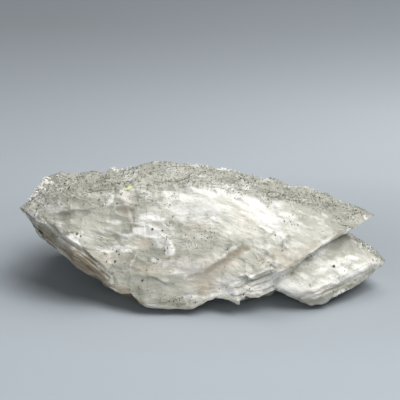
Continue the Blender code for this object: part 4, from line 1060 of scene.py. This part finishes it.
BLADE_FIELDS = [
    # (a, b) of the centre, half lengths, turn, how many, longest side
    ((-65.6, 44.4), (1.4, 1.5), 0, 34, 2.6), ((-62.8, 42.6), (1.6, 0.9), 30, 16, 1.8),
    ((30.5, 1.0), (1.4, 1.8), 0, 16, 1.0), ((-67.8, 40.4), (2.6, 1.1), 35, 90, 2.3),
    ((-70.9, 36.9), (2.2, 0.7), 35, 48, 1.8), ((-35.5, 49.0), (3.2, 0.6), 4, 26, 1.6),
    ((8.5, 49.2), (3.0, 0.8), -14, 30, 1.6), ((-3.0, 50.8), (4.0, 0.5), -8, 16, 1.3),
    ((25.5, 44.3), (3.0, 0.6), -12, 16, 1.4), ((37.0, 41.2), (3.0, 0.6), -12, 12, 1.3),
    ((-58.0, 45.9), (3.0, 0.7), 10, 16, 1.5), ((46.0, 40.3), (3.0, 0.5), -20, 12, 1.2),
    ((56.0, 35.4), (2.5, 0.6), -25, 12, 1.3), ((-20.0, 51.5), (5.0, 0.5), 8, 14, 1.2),
    ((61.0, 23.4), (2.6, 1.2), -45, 34, 1.5),
    ((66.5, 16.5), (2.6, 1.4), -45, 40, 1.5), ((42.0, 9.3), (3.0, 2.0), -30, 26, 1.0),
    ((55.0, 9.5), (3.5, 1.2), 25, 20, 1.0), ((-52.0, 21.6), (2.6, 1.6), -40, 18, 1.4),
    ((-39.0, 36.8), (0.8, 1.8), -20, 10, 1.4), ((-22.0, 29.2), (5.0, 1.2), 0, 14, 1.1),
]


def make_blades(skin):
    """White barite blades broken along the crest, the left shoulder and the bruises."""
    rng = np.random.default_rng(62)
    chosen, longest = [], []
    for centre, halves, turn, count, side in BLADE_FIELDS:
        near = skin.field(centre, halves, turn) * (skin.normals[:, 1] < 0.8)
        chosen.append(skin.drawn(rng, near, count))
        longest += [side] * count
    chosen = np.concatenate(chosen)
    sides = np.array(longest)[:, None] * rng.uniform(0.45, 1.0, (len(chosen), 3)) * BLADE_SHAPE
    centres = skin.points[chosen] + skin.normals[chosen] * 0.1 * sides[:, :1]
    return crystals("barite_blades", TABLET, TABLET_FACES, centres, sides, rng)


def dressed(piece, material):
    """Gives the piece its material and makes it ride on the stone's body."""
    piece.data.materials.clear()
    piece.data.materials.append(material)
    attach(piece, "root")
    return piece


def make_table():
    """A pale seamless sweep: a level floor that rises behind in a quarter circle, as one profile
    carried along X."""
    radius, front, back, side, top = 0.9, -2.2, 1.0, 3.0, 3.2
    turn = np.linspace(0, np.pi / 2, 40)
    level = np.linspace(-1.0, back, 8)
    y = np.concatenate([[front], level, back + radius * np.sin(turn), [back + radius]])
    z = np.concatenate([[0.0], np.zeros(len(level)), radius * (1 - np.cos(turn)), [top]])
    x = np.array([-side, side])
    points = np.stack([np.repeat(x, len(y)), np.tile(y, 2), np.tile(z, 2)], axis=1)
    row = np.arange(len(y) - 1)
    faces = np.stack([row, row + len(y), row + len(y) + 1, row + 1], axis=1)
    mesh = bpy.data.meshes.new("table")
    mesh.from_pydata(points.tolist(), [], faces.tolist())
    mesh.polygons.foreach_set("use_smooth", [True] * len(mesh.polygons))
    table = added("table", mesh)
    material, tree, surface, _ = new_material("pale_table")
    # Painted shadow: the floor round the stone (near) is painted darker, as a soft shade under and beside
    # it.
    near = spot(tree, (0.04, 0.03), (0.20, 0.12))
    # Painted light and shade on the sweep: lighter behind the stone (behind), and darker towards the back on
    # the left.
    behind = spot(tree, (0.12, 0.27), (0.34, 0.26))
    colour = mixed(tree, behind, (0.415, 0.465, 0.516), (0.525, 0.583, 0.635))
    colour = mixed(tree, spot(tree, (-0.12, 0.55), (0.45, 0.40)), colour, (0.335, 0.367, 0.405))
    tree.links.new(mixed(tree, near, colour, (0.345, 0.383, 0.418)), surface.inputs["Base Color"])
    fill(surface, {"Roughness": 0.75, "Specular IOR Level": 0.2})
    mesh.materials.append(material)


def spot(tree, centre, radii):
    """1 at a place on the table, falling evenly to 0 on the ellipse round it, both in metres."""
    mapping = put(tree, "ShaderNodeMapping")
    tree.links.new(put(tree, "ShaderNodeTexCoord").outputs["Object"], mapping.inputs["Vector"])
    fill(mapping, {"Location": (-centre[0] / radii[0], -centre[1] / radii[1], 0),
                   "Scale": (1 / radii[0], 1 / radii[1], 0)})
    round_it = put(tree, "ShaderNodeTexGradient", gradient_type="SPHERICAL")
    tree.links.new(mapping.outputs["Vector"], round_it.inputs["Vector"])
    return round_it.outputs["Fac"]


LAMP_COLOUR = (1.0, 0.985, 0.96)
LAMP_AIM = (0, 0, 0.02)


def area_light(name, place, size, watts):
    """A soft lamp of this size in metres, turned to the stone."""
    light = bpy.data.lights.new(name, "AREA")
    light.shape = "RECTANGLE"
    light.size, light.size_y = size
    light.energy = watts
    light.color = LAMP_COLOUR
    made = added(name, light)
    made.location = place
    made.rotation_mode = "QUATERNION"
    made.rotation_quaternion = (Vector(place) - Vector(LAMP_AIM)).to_track_quat("Z", "Y")


def make_light():
    """A large soft light above the front, one overhead, a weak one low in front, and a dim sky."""
    area_light("key", (0.45, -0.38, 0.9), (0.7, 0.7), 8.5)
    area_light("top", (0.22, 0.18, 0.95), (0.9, 0.7), 5.4)
    area_light("fill", (-0.1, -1.0, 0.35), (0.9, 0.5), 2.3)
    world = bpy.data.worlds.new("studio")
    bpy.context.scene.world = world
    world.use_nodes = True
    fill(world.node_tree.nodes["Background"], {"Color": (0.90, 0.89, 0.88, 1), "Strength": 0.15})
    bpy.context.scene.view_settings.view_transform = "Standard"


def make_camera():
    """Level across, 18 degrees above the stone, 0.6 m from it."""
    _, out, aim = (Vector(axis) for axis in view_axes())
    camera = bpy.data.cameras.new("camera")
    camera.lens = camera.sensor_width * VIEW_DISTANCE / VIEW_WIDTH
    camera.clip_start = 0.01
    made = added("camera", camera)
    made.location = (aim + out * VIEW_DISTANCE + Vector(SHIFT)) * MM
    made.rotation_mode = "QUATERNION"
    made.rotation_quaternion = (-out).to_track_quat("-Z", "Y")
    bpy.context.scene.camera = made


make_camera()
make_light()
make_table()
stone = make_stone()
colour_stone(stone.data)
dressed(stone, barite_material())
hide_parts("barite")
skin = Skin(stone)
dressed(make_grains(skin), pyrite_material())
dressed(make_druse(skin), druse_material())
dressed(make_blades(skin), blade_material())
dressed(make_yellow_grain(skin), sulphur_material())
